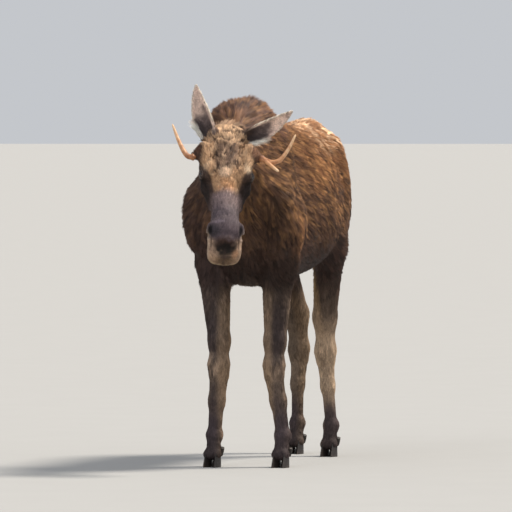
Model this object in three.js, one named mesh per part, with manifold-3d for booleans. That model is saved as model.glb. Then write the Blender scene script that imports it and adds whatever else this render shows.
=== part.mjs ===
// A young bull moose, standing square with its head lowered and turned a little to its left.
// Millimetres, +Z up. The animal faces -Y and its left side is +X. The solids reach out to the tips of the coat.
import * as THREE from 'three';
import { mergeVertices } from 'three/addons/utils/BufferGeometryUtils.js';
import Module from 'manifold-3d';

const wasm = await Module();
wasm.setup();

// ---------------------------------------------------------------- driving dimensions
const WITHERS = 1702;          // height of the shoulder hump, over the hair
const CROUP = 1620;            // height of the hips
const BRISKET = 826;           // underside of the chest between the forelegs
const FRONT_Y = -560;          // the forefeet, along the body
const KNEE_Z = 462;            // carpus
const HOCK_Z = 500;            // middle of the tarsus
const FETLOCK_Z = 150;
const HEAD_LENGTH = 642;       // poll to the front of the nose
const POLL = [38, -1012, 1537];
const HEAD_TURN = 20.5;         // degrees to the animal's left
const HEAD_DROP = 60;          // degrees below level
const HEAD_TIP = -3.3;         // degrees, in the plane of the face
const EYE_RADIUS = 20;
const EYE = [97, -243, 33];    // in the head's frame, mirrored for the right one
const EAR_LENGTH = 250;
const EAR_WIDTH = 98;
const HOOF_LENGTH = 112;
const HOOF_WIDTH = 46;
const HOOF_HEIGHT = 68;
const GAP = 0.8;               // between neighbouring solids

// ---------------------------------------------------------------- field helpers
// A field is a function of x, y, z: negative inside, positive outside, in millimetres near the surface.
const radians = (degrees) => (degrees * Math.PI) / 180;
const lerp = (a, b, t) => a + (b - a) * t;
const clamp = (v, low, high) => Math.min(high, Math.max(low, v));

function smoothMin(a, b, k) {
  const h = Math.max(k - Math.abs(a - b), 0) / k;
  return Math.min(a, b) - h * h * k * 0.25;
}
const smoothMax = (a, b, k) => -smoothMin(-a, -b, k);

// A cone with round ends. `squeeze` is its width across the body as a share of its depth.
function cone(a, b, ra, rb, squeeze = 1) {
  const ax = a[0] / squeeze;
  const [dx, dy, dz] = [b[0] / squeeze - ax, b[1] - a[1], b[2] - a[2]];
  const length2 = dx * dx + dy * dy + dz * dz;
  const dr = ra - rb;
  const a2 = length2 - dr * dr;
  return (x, y, z) => {
    const [px, py, pz] = [x / squeeze - ax, y - a[1], z - a[2]];
    const along = px * dx + py * dy + pz * dz;
    const beyond = along - length2;
    const [cx, cy, cz] = [px * length2 - dx * along, py * length2 - dy * along, pz * length2 - dz * along];
    const x2 = cx * cx + cy * cy + cz * cz;
    const y2 = along * along * length2;
    const z2 = beyond * beyond * length2;
    const k = Math.sign(dr) * dr * dr * x2;
    let d;
    if (Math.sign(beyond) * a2 * z2 > k) d = Math.sqrt(x2 + z2) / length2 - rb;
    else if (Math.sign(along) * a2 * y2 < k) d = Math.sqrt(x2 + y2) / length2 - ra;
    else d = (Math.sqrt((x2 * a2) / length2) + along * dr) / length2 - ra;
    return d * Math.min(1, squeeze);
  };
}

// An ellipsoid with radii [across, along, up], tipped about the X axis and turned about the Z axis.
function egg(centre, radii, tip = 0, turn = 0) {
  const [ct, st] = [Math.cos(radians(tip)), Math.sin(radians(tip))];
  const [cu, su] = [Math.cos(radians(turn)), Math.sin(radians(turn))];
  return (x, y, z) => {
    const [px, py, pz] = [x - centre[0], y - centre[1], z - centre[2]];
    const [qx, qy] = [px * cu + py * su, -px * su + py * cu];
    const [ux, uy, uz] = [qx / radii[0], (qy * ct + pz * st) / radii[1], (-qy * st + pz * ct) / radii[2]];
    const k0 = Math.hypot(ux, uy, uz);
    const k1 = Math.hypot(ux / radii[0], uy / radii[1], uz / radii[2]);
    return k1 > 1e-9 ? (k0 * (k0 - 1)) / k1 : -Math.min(...radii);
  };
}

// Values between stations, on a smooth curve. Each station is [place, value, value, ...].
function between(stations, place) {
  const last = stations.length - 1;
  const at = clamp(place, stations[0][0], stations[last][0]);
  let i = 0;
  while (i < last - 1 && at > stations[i + 1][0]) i++;
  const [p, q] = [stations[i], stations[i + 1]];
  const [before, after] = [stations[Math.max(i - 1, 0)], stations[Math.min(i + 2, last)]];
  const span = q[0] - p[0];
  const t = (at - p[0]) / span;
  return p.slice(1).map((v, n) => {
    const w = q[n + 1];
    const m0 = ((w - before[n + 1]) / (q[0] - before[0])) * span;
    const m1 = ((after[n + 1] - v) / (after[0] - p[0])) * span;
    const t2 = t * t;
    const t3 = t2 * t;
    return (2 * t3 - 3 * t2 + 1) * v + (t3 - 2 * t2 + t) * m0 + (3 * t2 - 2 * t3) * w + (t3 - t2) * m1;
  });
}

// A long form along Y whose sections are rounded ovals. Each station is [y, top, bottom, half width, taper],
// where taper is how much narrower the top is than the bottom.
function loft(stations, roundness, squareness = 2.2) {
  const first = stations[0][0];
  const last = stations[stations.length - 1][0];
  return (x, y, z) => {
    const [top, bottom, half, taper] = between(stations, y);
    const middle = (top + bottom) / 2;
    const rise = (top - bottom) / 2;
    const v = clamp((z - middle) / rise, -1.3, 1.3);
    const u = x / (half * (1 - taper * v));
    const g = (Math.abs(u) ** squareness + Math.abs((z - middle) / rise) ** squareness) ** (1 / squareness);
    const across = Math.max(Math.hypot(x, z - middle), 1) * (1 - 1 / Math.max(g, 0.05));
    return smoothMax(across, Math.max(first - y, y - last), roundness);
  };
}

// Joins [field, blend] pairs, each with its own softness.
function join(parts) {
  return (x, y, z) => {
    let d = 1e6;
    for (const [field, blend] of parts) d = smoothMin(d, field(x, y, z), blend);
    return d;
  };
}

// ---------------------------------------------------------------- trunk and neck
const trunkStations = [
  // y, top, bottom, half width, taper
  [-770, 1400, 1040, 110, 0.12],
  [-660, 1590, 920, 166, 0.24],
  [-520, WITHERS - 12, BRISKET, 200, 0.32],
  [-360, 1640, 834, 216, 0.42],
  [-150, 1606, 846, 244, 0.24],
  [100, 1590, 852, 254, 0.18],
  [330, 1606, 892, 228, 0.24],
  [500, CROUP, 968, 196, 0.3],
  [640, 1590, 1042, 148, 0.3],
  [760, 1484, 1100, 108, 0.22],
  [845, 1360, 1180, 66, 0.1],
];

function shoulder(side) {
  return [
    [egg([side * 130, -500, 1350], [76, 135, 235], -16), 70],          // shoulder blade and its muscle
    [egg([side * 178, -664, 1148], [92, 108, 150], 18), 110],           // point of the shoulder
    [cone([side * 142, -650, 1250], [side * 36, -890, 1385], 106, 84, 0.8), 80],       // muscle from there up the neck
    [egg([side * 184, -475, 1120], [76, 125, 150], -24), 70],          // upper arm and triceps
    [cone([side * 174, -580, 1080], [side * 158, -490, 930], 108, 86, 0.88), 60],
  ];
}

function haunch(side, stifle) {
  return [
    [egg([side * 95, 540, 1385], [80, 190, 155], 12), 80],             // rump muscle over the pelvis
    [egg([side * 114, 560, 1190], [76, 160, 235], 14), 80],            // thigh
    [egg([side * 98, 690, 1205], [57, 92, 180], 14), 80],             // back of the thigh
    [egg([stifle[0], stifle[1] + 50, stifle[2] + 70], [68, 105, 140], -20), 70],
    [egg([side * 66, 766, 1350], [50, 62, 95]), 80],                   // seat bone
  ];
}

const neckForms = [
  [egg([-28, -520, 1538], [174, 225, 162], -6), 60],                   // hump
  [cone([0, -560, 1520], [28, -950, 1470], 118, 56, 0.76), 60],        // crest
  [cone([0, -560, 1370], [26, -950, 1415], 225, 120, 0.74), 80],
  [cone([0, -660, 1190], [24, -925, 1345], 160, 92, 0.74), 80],        // underside of the neck
  [egg([0, -745, 1130], [118, 90, 130], 20), 80],                      // breast
];

// ---------------------------------------------------------------- legs
// Joint centres of each leg. `squeeze` makes a section narrower across than it is deep.
const forelegs = {
  left: { side: 1, elbow: [138, -470, 945], knee: [136, -556, KNEE_Z], foot: [172, -545] },
  right: { side: -1, elbow: [-166, -480, 945], knee: [-124, -572, KNEE_Z], foot: [-145, -578] },
};
const hindlegs = {
  left: { side: 1, stifle: [142, 370, 985], hock: [84, 560, HOCK_Z], foot: [116, 535] },
  right: { side: -1, stifle: [-150, 480, 985], hock: [-112, 800, HOCK_Z], foot: [-110, 755] },
};

function foot(x, y, side) {
  return [
    [cone([x, y + 6, FETLOCK_Z - 6], [x - 2 * side, y - 26, 62], 34, 33, 1.12), 22],  // pastern
    [egg([x, y + 12, FETLOCK_Z - 2], [37, 42, 38]), 20],                 // fetlock
    [egg([x + 20, y - 30, 58], [25, 36, 30]), 14],                       // the two toes
    [egg([x - 20, y - 30, 58], [25, 36, 30]), 14],
    [egg([x, y + 36, 96], [28, 22, 34], 20), 16],                        // heel pad
  ];
}

function foreleg({ side, elbow, knee, foot: [x, y] }) {
  const fetlock = [x, y + 8, FETLOCK_Z];
  return [
    [cone([elbow[0], elbow[1] - 28, elbow[2]], [knee[0] + side * 2, knee[1] + 14, KNEE_Z + 120], 108, 60, 0.84), 50],
    [cone([elbow[0], elbow[1] + 38, elbow[2] + 20], [elbow[0], elbow[1] + 10, elbow[2] - 120], 62, 44, 0.8), 50],
    [cone([knee[0], knee[1] + 10, KNEE_Z + 120], [knee[0], knee[1] + 4, KNEE_Z + 30], 54, 50, 0.94), 30],
    [egg([knee[0], knee[1] - 2, KNEE_Z], [54, 54, 62]), 30],
    [egg([knee[0], knee[1] + 34, KNEE_Z - 18], [34, 28, 42]), 24],       // back of the knee
    [cone([knee[0], knee[1] + 2, KNEE_Z - 46], [lerp(knee[0], x, 0.45), y + 4, 300], 48, 39, 1), 26],
    [cone([lerp(knee[0], x, 0.42), y + 4, 310], fetlock, 39, 35, 1), 26],
    [cone([lerp(knee[0], x, 0.4), y + 24, 330], [x, y + 30, 170], 20, 20, 0.9), 20],  // tendon
    ...foot(x, y, side),
  ];
}

function hindleg({ side, stifle, hock, foot: [x, y] }) {
  const fetlock = [x, y + 8, FETLOCK_Z];
  const heel = [hock[0], hock[1] + 50, HOCK_Z + 52];
  return [
    [cone([stifle[0], stifle[1] + 30, stifle[2]], [hock[0] + side * 6, hock[1] - 34, HOCK_Z + 170], 114, 74, 0.78), 60],
    [cone([stifle[0] - side * 6, stifle[1] + 110, stifle[2] + 20], [hock[0], hock[1] + 20, HOCK_Z + 170], 96, 34, 0.62), 50],
    [cone([hock[0] + side * 4, hock[1] - 26, HOCK_Z + 170], [hock[0], hock[1], HOCK_Z + 20], 66, 54, 0.86), 30],
    [cone([hock[0], hock[1] + 26, HOCK_Z + 190], heel, 24, 25, 0.85), 22],             // tendon above the heel
    [cone(heel, [hock[0], hock[1] + 36, HOCK_Z - 40], 30, 34, 0.84), 26],
    [egg([hock[0], hock[1] - 2, HOCK_Z], [55, 58, 70], -12), 26],
    [cone([hock[0], hock[1] + 6, HOCK_Z - 50], [lerp(hock[0], x, 0.5), lerp(hock[1], y, 0.62), 330], 48, 37, 0.94), 26],
    [cone([lerp(hock[0], x, 0.46), lerp(hock[1], y, 0.58), 340], fetlock, 37, 34, 0.9), 26],
    [cone([lerp(hock[0], x, 0.4), hock[1] + 26, 400], [x, y + 30, 170], 22, 20, 0.9), 20],
    ...foot(x, y, side),
  ];
}

// ---------------------------------------------------------------- head, in its own frame
// The head's frame has the poll at its origin and looks along -Y with the top of the head up.
const headStations = [
  // y, top, bottom, half width, taper
  [-HEAD_LENGTH, -14, -92, 46, -0.05],
  [-608, 34, -118, 66, -0.02],
  [-562, 56, -114, 70, 0.02],
  [-516, 64, -104, 76, 0.06],
  [-450, 58, -92, 68, 0.08],
  [-384, 54, -94, 70, 0.16],
  [-300, 62, -114, 96, 0.26],
  [-215, 80, -132, 107, 0.16],
  [-120, 86, -130, 98, 0.04],
  [-30, 66, -100, 90, 0],
  [22, 40, -70, 78, 0],
];

function face(side) {
  return [
    [egg([side * 93, -200, 54], [25, 54, 24], 4, side * -24), 32],       // brow over the eye
    [egg([side * 88, -262, -4], [27, 62, 30], -4, side * 8), 30],        // cheekbone under the eye
    [cone([side * 108, -106, 52], [side * 144, -156, 58], 28, 19), 18],  // pedicle
    [egg([side * 70, -150, -58], [42, 92, 66], 10), 40],                 // cheek
    [egg([side * 59, -520, 24], [31, 40, 34], 10, side * 8), 22],        // wing of the nostril
    [egg([side * 43, -600, -52], [35, 42, 52], -14), 26],                // upper lip
    [egg([side * 60, -40, 46], [30, 36, 34]), 26],                       // root of the ear
  ];
}

const muzzle = [
  [egg([0, -500, 42], [52, 86, 28], 2), 30],                             // arch of the nose
  [egg([0, -616, -38], [46, 34, 50], -14), 26],
  [egg([0, -552, -102], [46, 58, 26], 8), 22],                           // chin and lower lip
];

const skullBack = [[cone([0, -24, -24], [0, 20, -104], 62, 66, 1.1), 50]];

function nostril(side) {
  return cone([side * 72, -548, 20], [side * 102, -522, 8], 13, 18);
}

const headForms = join([[loft(headStations, 40, 2.25), 20], ...face(1), ...face(-1), ...muzzle, ...skullBack]);

function headField(x, y, z) {
  let d = headForms(x, y, z);
  for (const side of [1, -1]) d = smoothMax(d, -nostril(side)(x, y, z), 10);
  return d;
}

const headPose = new THREE.Matrix4()
  .makeTranslation(...POLL)
  .multiply(new THREE.Matrix4().makeRotationZ(radians(HEAD_TURN)))
  .multiply(new THREE.Matrix4().makeRotationX(radians(HEAD_DROP)))
  .multiply(new THREE.Matrix4().makeRotationZ(radians(HEAD_TIP)));
const headInverse = headPose.clone().invert();

// ---------------------------------------------------------------- the whole body of flesh
const bodyForms = join([
  [loft(trunkStations, 110, 2.1), 10],
  ...shoulder(1),
  ...shoulder(-1),
  ...haunch(1, hindlegs.left.stifle),
  ...haunch(-1, hindlegs.right.stifle),
  ...neckForms,
  ...foreleg(forelegs.left),
  ...foreleg(forelegs.right),
  ...hindleg(hindlegs.left),
  ...hindleg(hindlegs.right),
]);

const scratch = new THREE.Vector3();
const HEAD_BLEND = 70;

function flesh(x, y, z) {
  const body = bodyForms(x, y, z);
  scratch.set(x, y, z).applyMatrix4(headInverse);
  if (scratch.length() > 900) return body;
  return smoothMin(body, headField(scratch.x, scratch.y, scratch.z), HEAD_BLEND);
}

const fleshInHead = (x, y, z) => {
  const p = new THREE.Vector3(x, y, z).applyMatrix4(headPose);
  return flesh(p.x, p.y, p.z);
};

// ---------------------------------------------------------------- from a field to a solid
function solid(geometry) {
  const bare = geometry.index ? geometry.toNonIndexed() : geometry.clone();
  for (const name of Object.keys(bare.attributes)) if (name !== 'position') bare.deleteAttribute(name);
  const merged = mergeVertices(bare, 1e-3);
  return new wasm.Manifold(new wasm.Mesh({
    numProp: 3,
    vertProperties: new Float32Array(merged.attributes.position.array),
    triVerts: new Uint32Array(merged.index.array),
  }));
}

// The surface of a field inside a box, `grow` millimetres out, with one vertex to each cell that it crosses.
function surface(field, low, high, cell, grow = 0) {
  const count = [0, 1, 2].map((i) => Math.ceil((high[i] - low[i]) / cell[i]) + 1);
  const [nx, ny, nz] = count;
  const at = (i, j, k) => [low[0] + i * cell[0], low[1] + j * cell[1], low[2] + k * cell[2]];
  const index = (i, j, k) => (k * ny + j) * nx + i;
  const values = new Float64Array(nx * ny * nz);
  for (let k = 0; k < nz; k++)
    for (let j = 0; j < ny; j++)
      for (let i = 0; i < nx; i++) {
        const edge = i === 0 || j === 0 || k === 0 || i === nx - 1 || j === ny - 1 || k === nz - 1;
        const d = field(...at(i, j, k)) - grow;
        values[index(i, j, k)] = edge ? Math.max(d, 0.5 * Math.min(...cell)) : d;
      }
  const steps = [[1, 0, 0], [0, 1, 0], [0, 0, 1]];
  const corners = [0, 1, 2, 3, 4, 5, 6, 7].map((n) => [n & 1, (n >> 1) & 1, n >> 2]);
  fillCheckers(values, count);
  const vertexOf = new Map();
  const positions = [];
  for (let k = 0; k < nz - 1; k++)
    for (let j = 0; j < ny - 1; j++)
      for (let i = 0; i < nx - 1; i++) {
        const inside = corners.map(([a, b, c]) => values[index(i + a, j + b, k + c)] < 0);
        if (inside.every((v) => v) || inside.every((v) => !v)) continue;
        const sum = new THREE.Vector3();
        let crossings = 0;
        corners.forEach((from, n) => steps.forEach((step, axis) => {
          if (from[axis]) return;
          const m = n + (1 << axis);
          if (inside[n] === inside[m]) return;
          const [va, vb] = [n, m].map((q) => values[index(i + corners[q][0], j + corners[q][1], k + corners[q][2])]);
          const t = va / (va - vb);
          const p = at(i + from[0] + step[0] * t, j + from[1] + step[1] * t, k + from[2] + step[2] * t);
          sum.add(new THREE.Vector3(...p));
          crossings++;
        }));
        vertexOf.set(index(i, j, k), positions.length / 3);
        positions.push(...settle(field, sum.divideScalar(crossings), grow, Math.min(...cell)));
      }
  const faces = [];
  const point = (n) => new THREE.Vector3(positions[3 * n], positions[3 * n + 1], positions[3 * n + 2]);
  for (let k = 0; k < nz - 1; k++)
    for (let j = 0; j < ny - 1; j++)
      for (let i = 0; i < nx - 1; i++)
        steps.forEach((step, axis) => {
          const here = values[index(i, j, k)] < 0;
          const there = values[index(i + step[0], j + step[1], k + step[2])] < 0;
          if (here === there) return;
          const [b, c] = [steps[(axis + 1) % 3], steps[(axis + 2) % 3]];
          const ring = [[0, 0], [1, 0], [1, 1], [0, 1]].map(([s, t]) =>
            vertexOf.get(index(i - s * b[0] - t * c[0], j - s * b[1] - t * c[1], k - s * b[2] - t * c[2])));
          if (!here) ring.reverse();
          const [p, q, r, s] = ring;
          const short = point(p).distanceTo(point(r)) <= point(q).distanceTo(point(s));
          faces.push(...(short ? [p, q, r, p, r, s] : [p, q, s, q, r, s]));
        });
  const geometry = new THREE.BufferGeometry();
  geometry.setAttribute('position', new THREE.Float32BufferAttribute(positions, 3));
  geometry.setIndex(faces);
  return geometry;
}

// Two inside corners that touch only across a square or a cube would give an edge with four faces.
// One of the outside corners between them is taken in, until no such pair is left.
function fillCheckers(values, [nx, ny, nz]) {
  const strides = [1, nx, nx * ny];
  const inside = (n) => values[n] < 0;
  for (let changed = true; changed; ) {
    changed = false;
    for (let k = 0; k < nz - 1; k++)
      for (let j = 0; j < ny - 1; j++)
        for (let i = 0; i < nx - 1; i++) {
          const n = (k * ny + j) * nx + i;
          for (const [s, t] of [[0, 1], [1, 2], [0, 2]]) {
            const square = [n, n + strides[s], n + strides[t], n + strides[s] + strides[t]];
            const [a, b, c, d] = square.map(inside);
            if (a !== d || b !== c || a === b) continue;
            const open = square.filter((m) => !inside(m));
            const filled = values[open[0]] < values[open[1]] ? open[0] : open[1];
            values[filled] = -0.1;
            changed = true;
          }
        }
  }
}

// Moves a vertex onto the surface, by no more than half a cell.
function settle(field, p, grow, cell) {
  const h = 0.5;
  const start = p.clone();
  for (let n = 0; n < 4; n++) {
    const d = field(p.x, p.y, p.z) - grow;
    const g = new THREE.Vector3(
      field(p.x + h, p.y, p.z) - field(p.x - h, p.y, p.z),
      field(p.x, p.y + h, p.z) - field(p.x, p.y - h, p.z),
      field(p.x, p.y, p.z + h) - field(p.x, p.y, p.z - h),
    ).divideScalar(2 * h);
    p.addScaledVector(g, -d / Math.max(g.lengthSq(), 0.2));
  }
  p.sub(start).clampLength(0, cell * 0.5).add(start);
  return p.toArray();
}

const shape = (field, low, high, cell, grow) => solid(surface(field, low, high, cell, grow));

function moved(manifold, matrix) {
  return manifold.transform(matrix.toArray());
}

// ---------------------------------------------------------------- cutting the flesh into parts
const CUT_REACH = 600;

// The blocks that hold one leg below its cut. The cut slopes up towards the outside of the body.
function legBlock(side, y, top, slope, grow = 0) {
  const low = [side * (CUT_REACH / 2 + 6 - grow), y, top - CUT_REACH];
  const size = [CUT_REACH, 560 + 2 * grow, 2 * CUT_REACH];
  const box = new THREE.BoxGeometry(...size).translate(...low);
  const upper = new THREE.BoxGeometry(4 * CUT_REACH, 4 * CUT_REACH, 4 * CUT_REACH);
  upper.translate(0, 0, 2 * CUT_REACH + grow).rotateY(-side * radians(slope)).translate(side * 60, y, top);
  return solid(box).subtract(solid(upper));
}

const legCuts = {
  foreleg: { y: -500, top: 874, slope: 32 },
  hindleg: { y: 620, top: 905, slope: 38 },
};
const cutOf = (kind, side, grow) => legBlock(side, legCuts[kind].y, legCuts[kind].top, legCuts[kind].slope, grow);

function leg(kind, { side, foot: [x, y] }) {
  const reach = kind === 'foreleg' ? [-200, 230] : [-330, 330];
  const low = [x - (side > 0 ? 170 : 190), y + reach[0], -30];
  const high = [x + (side > 0 ? 190 : 170), y + reach[1], 1220];
  const whole = shape(flesh, low, high, LEG_CELL);
  return whole.intersect(cutOf(kind, side, 0));
}

const LEG_CELL = [28, 31, 74];
const TRUNK_CELL = [82, 98, 80];
const NECK_CELL = [60, 64, 60];
const HEAD_CELL = [24, 29, 24];

// Everything ahead of a plane that passes through a point, leans back by some degrees and is turned with the neck.
function ahead([x, y, z], lean, turn, grow = 0) {
  const size = 2400;
  const box = new THREE.BoxGeometry(size, size, size).translate(0, -size / 2 + grow, 0);
  return solid(box.rotateX(radians(lean)).rotateZ(radians(turn)).translate(x, y, z));
}

// The head lies ahead of a plane behind the poll and the jaw, and the neck ahead of one from the withers to the breast.
const headSide = (grow) => ahead([20, -962, 1440], 12, 10, grow);
const neckSide = (grow) => ahead([0, -690, 1300], -18, 0, grow);

// ---------------------------------------------------------------- hard parts
// A closed form from rings of points, each ring with the same number.
function rings(list) {
  const sides = list[0].length;
  const positions = list.flat(2);
  const faces = [];
  for (let r = 0; r < list.length - 1; r++)
    for (let s = 0; s < sides; s++) {
      const [a, b] = [r * sides + s, r * sides + ((s + 1) % sides)];
      faces.push(a, b, b + sides, a, b + sides, a + sides);
    }
  const centre = (ring) => ring.reduce((sum, p) => sum.map((v, i) => v + p[i] / sides), [0, 0, 0]);
  const end = list.length - 1;
  positions.push(...centre(list[0]), ...centre(list[end]));
  const [low, high] = [list.length * sides, list.length * sides + 1];
  for (let s = 0; s < sides; s++) {
    const next = (s + 1) % sides;
    faces.push(low, next, s, high, end * sides + s, end * sides + next);
  }
  const geometry = new THREE.BufferGeometry();
  geometry.setAttribute('position', new THREE.Float32BufferAttribute(positions, 3));
  geometry.setIndex(faces);
  return geometry;
}

// One half of a cloven hoof, pointing along -Y, standing on z = 0. `outer` is +1 if its outer wall is at +X.
function hoof(outer, grow = 0) {
  const sides = 11;
  const levels = [0, 0.14, 1];
  return rings(levels.map((level) => {
    const ring = [];
    for (let s = 0; s < sides; s++) {
      const angle = (2 * Math.PI * s) / sides;
      const forward = -Math.cos(angle);                       // -1 at the toe, +1 at the heel
      const sideways = Math.sin(angle);
      const pointed = forward < 0 ? (1 + forward) ** 0.62 : 1; // narrows to the toe
      const inner = sideways * outer < 0;
      const half = (HOOF_WIDTH / 2) * (inner ? 0.72 : 1) * lerp(1, 0.84, level) + grow;
      const length = (HOOF_LENGTH / 2) * lerp(1, 0.66, level) + grow;
      const lean = lerp(0, 15, level);                        // the wall slopes back from the toe
      const top = lerp(HOOF_HEIGHT, 34, (forward + 1) / 2) + grow;
      const curl = outer * 4 * (1 - forward) * (1 - level);
      const x = Math.sign(sideways) * Math.abs(sideways) ** 0.8 * half * clamp(pointed, 0.28, 1) - curl * 0.6;
      const swell = level === 0 ? 0.96 : 1;
      ring.push([x * swell, forward * length * swell + lean, level * top - (level === 0 ? grow : 0)]);
    }
    return ring;
  }));
}

function dewclaw() {
  const claw = new THREE.ConeGeometry(14, 46, 7, 1);
  claw.rotateX(radians(-62));
  return claw;
}

// A tapered, slightly oval tube along a curve, with a rounded tip.
function spike(points, radius, tip, steps, sides, oval = 1) {
  const curve = new THREE.CatmullRomCurve3(points.map((p) => new THREE.Vector3(...p)));
  const frames = curve.computeFrenetFrames(steps);
  const list = [];
  for (let n = 0; n <= steps; n++) {
    const t = n / steps;
    const middle = curve.getPointAt(t);
    const end = t > 0.86 ? Math.sqrt(Math.max(1 - ((t - 0.86) / 0.145) ** 2, 0.02)) : 1;
    const r = lerp(radius, tip, t ** 1.25) * end;
    const ring = [];
    for (let s = 0; s < sides; s++) {
      const angle = (2 * Math.PI * s) / sides;
      const offset = frames.normals[n].clone().multiplyScalar(Math.cos(angle) * r * oval)
        .addScaledVector(frames.binormals[n], Math.sin(angle) * r);
      ring.push(middle.clone().add(offset).toArray());
    }
    list.push(ring);
  }
  return rings(list);
}

// A cupped leaf, closed all round. It grows along +Z from its root, hollow towards -Y.
function ear(side) {
  const lengthSteps = 9;
  const acrossSteps = 6;
  const leaf = (t) => Math.sin(Math.PI * clamp(t, 0, 1) ** 0.78) ** 0.72;      // half width along the ear
  const list = [];
  for (let n = 0; n <= lengthSteps; n++) {
    const t = n / lengthSteps;
    const half = Math.max((EAR_WIDTH / 2) * Math.max(leaf(lerp(0.2, 0.985, t)), 0.1), 5);
    const cup = lerp(2.5, 0.9, Math.min(t * 1.5, 1));                        // radians of curl across
    const thick = lerp(11, 5, t);
    const ring = [];
    const put = (s, outer) => {
      const angle = (s - 0.5) * cup;
      const bow = half / Math.max(Math.sin(cup / 2), cup / 2 > Math.PI / 2 ? 1 : 0.05);
      const edge = Math.sqrt(Math.max(1 - (2 * s - 1) ** 4, 0.05));
      const r = bow + (outer ? thick * edge * 0.5 : -thick * edge * 0.5);
      const x = Math.sin(angle) * r;
      const y = (Math.cos(angle) - Math.cos(cup / 2)) * r;
      const sweep = side * 10 * Math.sin(Math.PI * t);
      ring.push([x + sweep, y + 12 * t * t, EAR_LENGTH * t]);
    };
    for (let s = acrossSteps; s >= 0; s--) put(s / acrossSteps, true);
    for (let s = 0; s <= acrossSteps; s++) put(s / acrossSteps, false);
    list.push(ring);
  }
  return rings(list);
}

const placed = (geometry, position, rotation = [0, 0, 0], order = 'XYZ') =>
  geometry.clone().applyMatrix4(new THREE.Matrix4().compose(
    new THREE.Vector3(...position),
    new THREE.Quaternion().setFromEuler(new THREE.Euler(...rotation.map(radians), order)),
    new THREE.Vector3(1, 1, 1),
  ));

// Stands a geometry on `root` with its Z axis towards `tip` and its -Y side towards `hollow`.
function pointed(geometry, root, tip, hollow) {
  const up = new THREE.Vector3(...tip).sub(new THREE.Vector3(...root)).normalize();
  const back = new THREE.Vector3(...hollow).negate();
  back.addScaledVector(up, -back.dot(up)).normalize();
  const basis = new THREE.Matrix4().makeBasis(back.clone().cross(up), back, up);
  return geometry.clone().applyMatrix4(basis).translate(...root);
}

// ---------------------------------------------------------------- materials
const finish = (color, roughness, metalness = 0) => new THREE.MeshStandardMaterial({ color, roughness, metalness });
const coat = {
  body: finish(0x6b4a33, 0.85),
  neck: finish(0x5a3f30, 0.85),
  face: finish(0x8a6c50, 0.8),
  leg: finish(0x5c4c44, 0.8),
  ear: finish(0x7d6f66, 0.8),
};
const horn = finish(0x2b2522, 0.45);
const antler = finish(0xb0713f, 0.5);
const eyeball = finish(0x1a100b, 0.08);

// ---------------------------------------------------------------- assembly
const moose = new THREE.Group();
const head = new THREE.Group();
head.applyMatrix4(headPose);
moose.add(head);

function add(parent, name, shapeOf, material) {
  const geometry = new THREE.BufferGeometry();
  const mesh = shapeOf.getMesh();
  geometry.setAttribute('position', new THREE.BufferAttribute(new Float32Array(mesh.vertProperties), 3));
  geometry.setIndex(new THREE.BufferAttribute(new Uint32Array(mesh.triVerts), 1));
  geometry.computeVertexNormals();
  const node = new THREE.Mesh(geometry, material);
  node.name = name;
  parent.add(node);
  return node;
}

const mainBody = (shapeOf) => shapeOf.decompose().reduce((a, b) => (b.volume() > a.volume() ? b : a));

// What is left of a shape that grows at `root` out of a neighbour, with a gap between them: the neighbour is
// swelled about a point inside it before it is cut away.
function clear(shapeOf, neighbour, root, inner) {
  const distance = Math.hypot(...root.map((v, i) => v - inner[i]));
  const swell = 1 + GAP / distance;
  const grown = neighbour.translate(inner.map((v) => -v)).scale([swell, swell, swell]).translate(inner);
  return mainBody(shapeOf.subtract(grown));
}

// Trunk and neck
const torso = shape(flesh, [-420, -1000, 760], [420, 1020, 1800], TRUNK_CELL)
  .subtract(cutOf('foreleg', 1, GAP))
  .subtract(cutOf('foreleg', -1, GAP))
  .subtract(cutOf('hindleg', 1, GAP))
  .subtract(cutOf('hindleg', -1, GAP))
  .subtract(neckSide(GAP));
const trunk = mainBody(torso);
add(moose, 'trunk', trunk, coat.body);

const throat = shape(flesh, [-330, -1330, 960], [330, -480, 1790], NECK_CELL)
  .intersect(neckSide(0))
  .subtract(headSide(GAP));
const neck = mainBody(throat);
add(moose, 'neck', neck, coat.neck);

// Legs, with their hooves and dewclaws
const SPLAY = 9;
for (const [kind, pair] of [['foreleg', forelegs], ['hindleg', hindlegs]])
  for (const [sideName, joints] of Object.entries(pair)) {
    const [x, y] = joints.foot;
    const name = `${kind}_${sideName}`;
    let limb = leg(kind, joints);
    const claws = [1, -1].map((outer) => {
      const place = [x + outer * (HOOF_WIDTH / 2 - 1), y - 40, 0];
      const turn = [0, 0, outer * SPLAY];
      limb = limb.subtract(solid(placed(hoof(outer, GAP), place, turn)));
      return solid(placed(hoof(outer), place, turn));
    });
    limb = mainBody(limb);
    add(moose, name, limb, coat.leg);
    claws.forEach((claw, n) => add(moose, `hoof_${name}_${n ? 'right' : 'left'}`, claw, horn));
    [1, -1].forEach((outer) => {
      const spur = solid(placed(dewclaw(), [x + outer * 22, y + 46, 66], [0, 0, outer * 12]));
      const trimmed = clear(spur, limb, [x + outer * 22, y + 40, 80], [x, y + 10, 96]);
      add(moose, `dewclaw_${name}_${outer > 0 ? 'left' : 'right'}`, trimmed, horn);
    });
  }

// Tail and throat bell
const tailForm = join([
  [cone([0, 806, 1400], [0, 852, 1310], 30, 24, 1.1), 10],
  [cone([0, 842, 1330], [0, 858, 1262], 26, 15, 1.1), 10],
]);
const tail = shape(tailForm, [-60, 770, 1180], [60, 920, 1450], [19, 19, 30]);
add(moose, 'tail', clear(tail, trunk, [0, 820, 1380], [0, 680, 1360]), coat.body);

// Head, with eyes, ears and antlers, all in the head's own frame
const headLow = [-200, -700, -210];
const headHigh = [200, 130, 190];
let skull = shape(fleshInHead, headLow, headHigh, HEAD_CELL).intersect(moved(headSide(0), headInverse));

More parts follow.
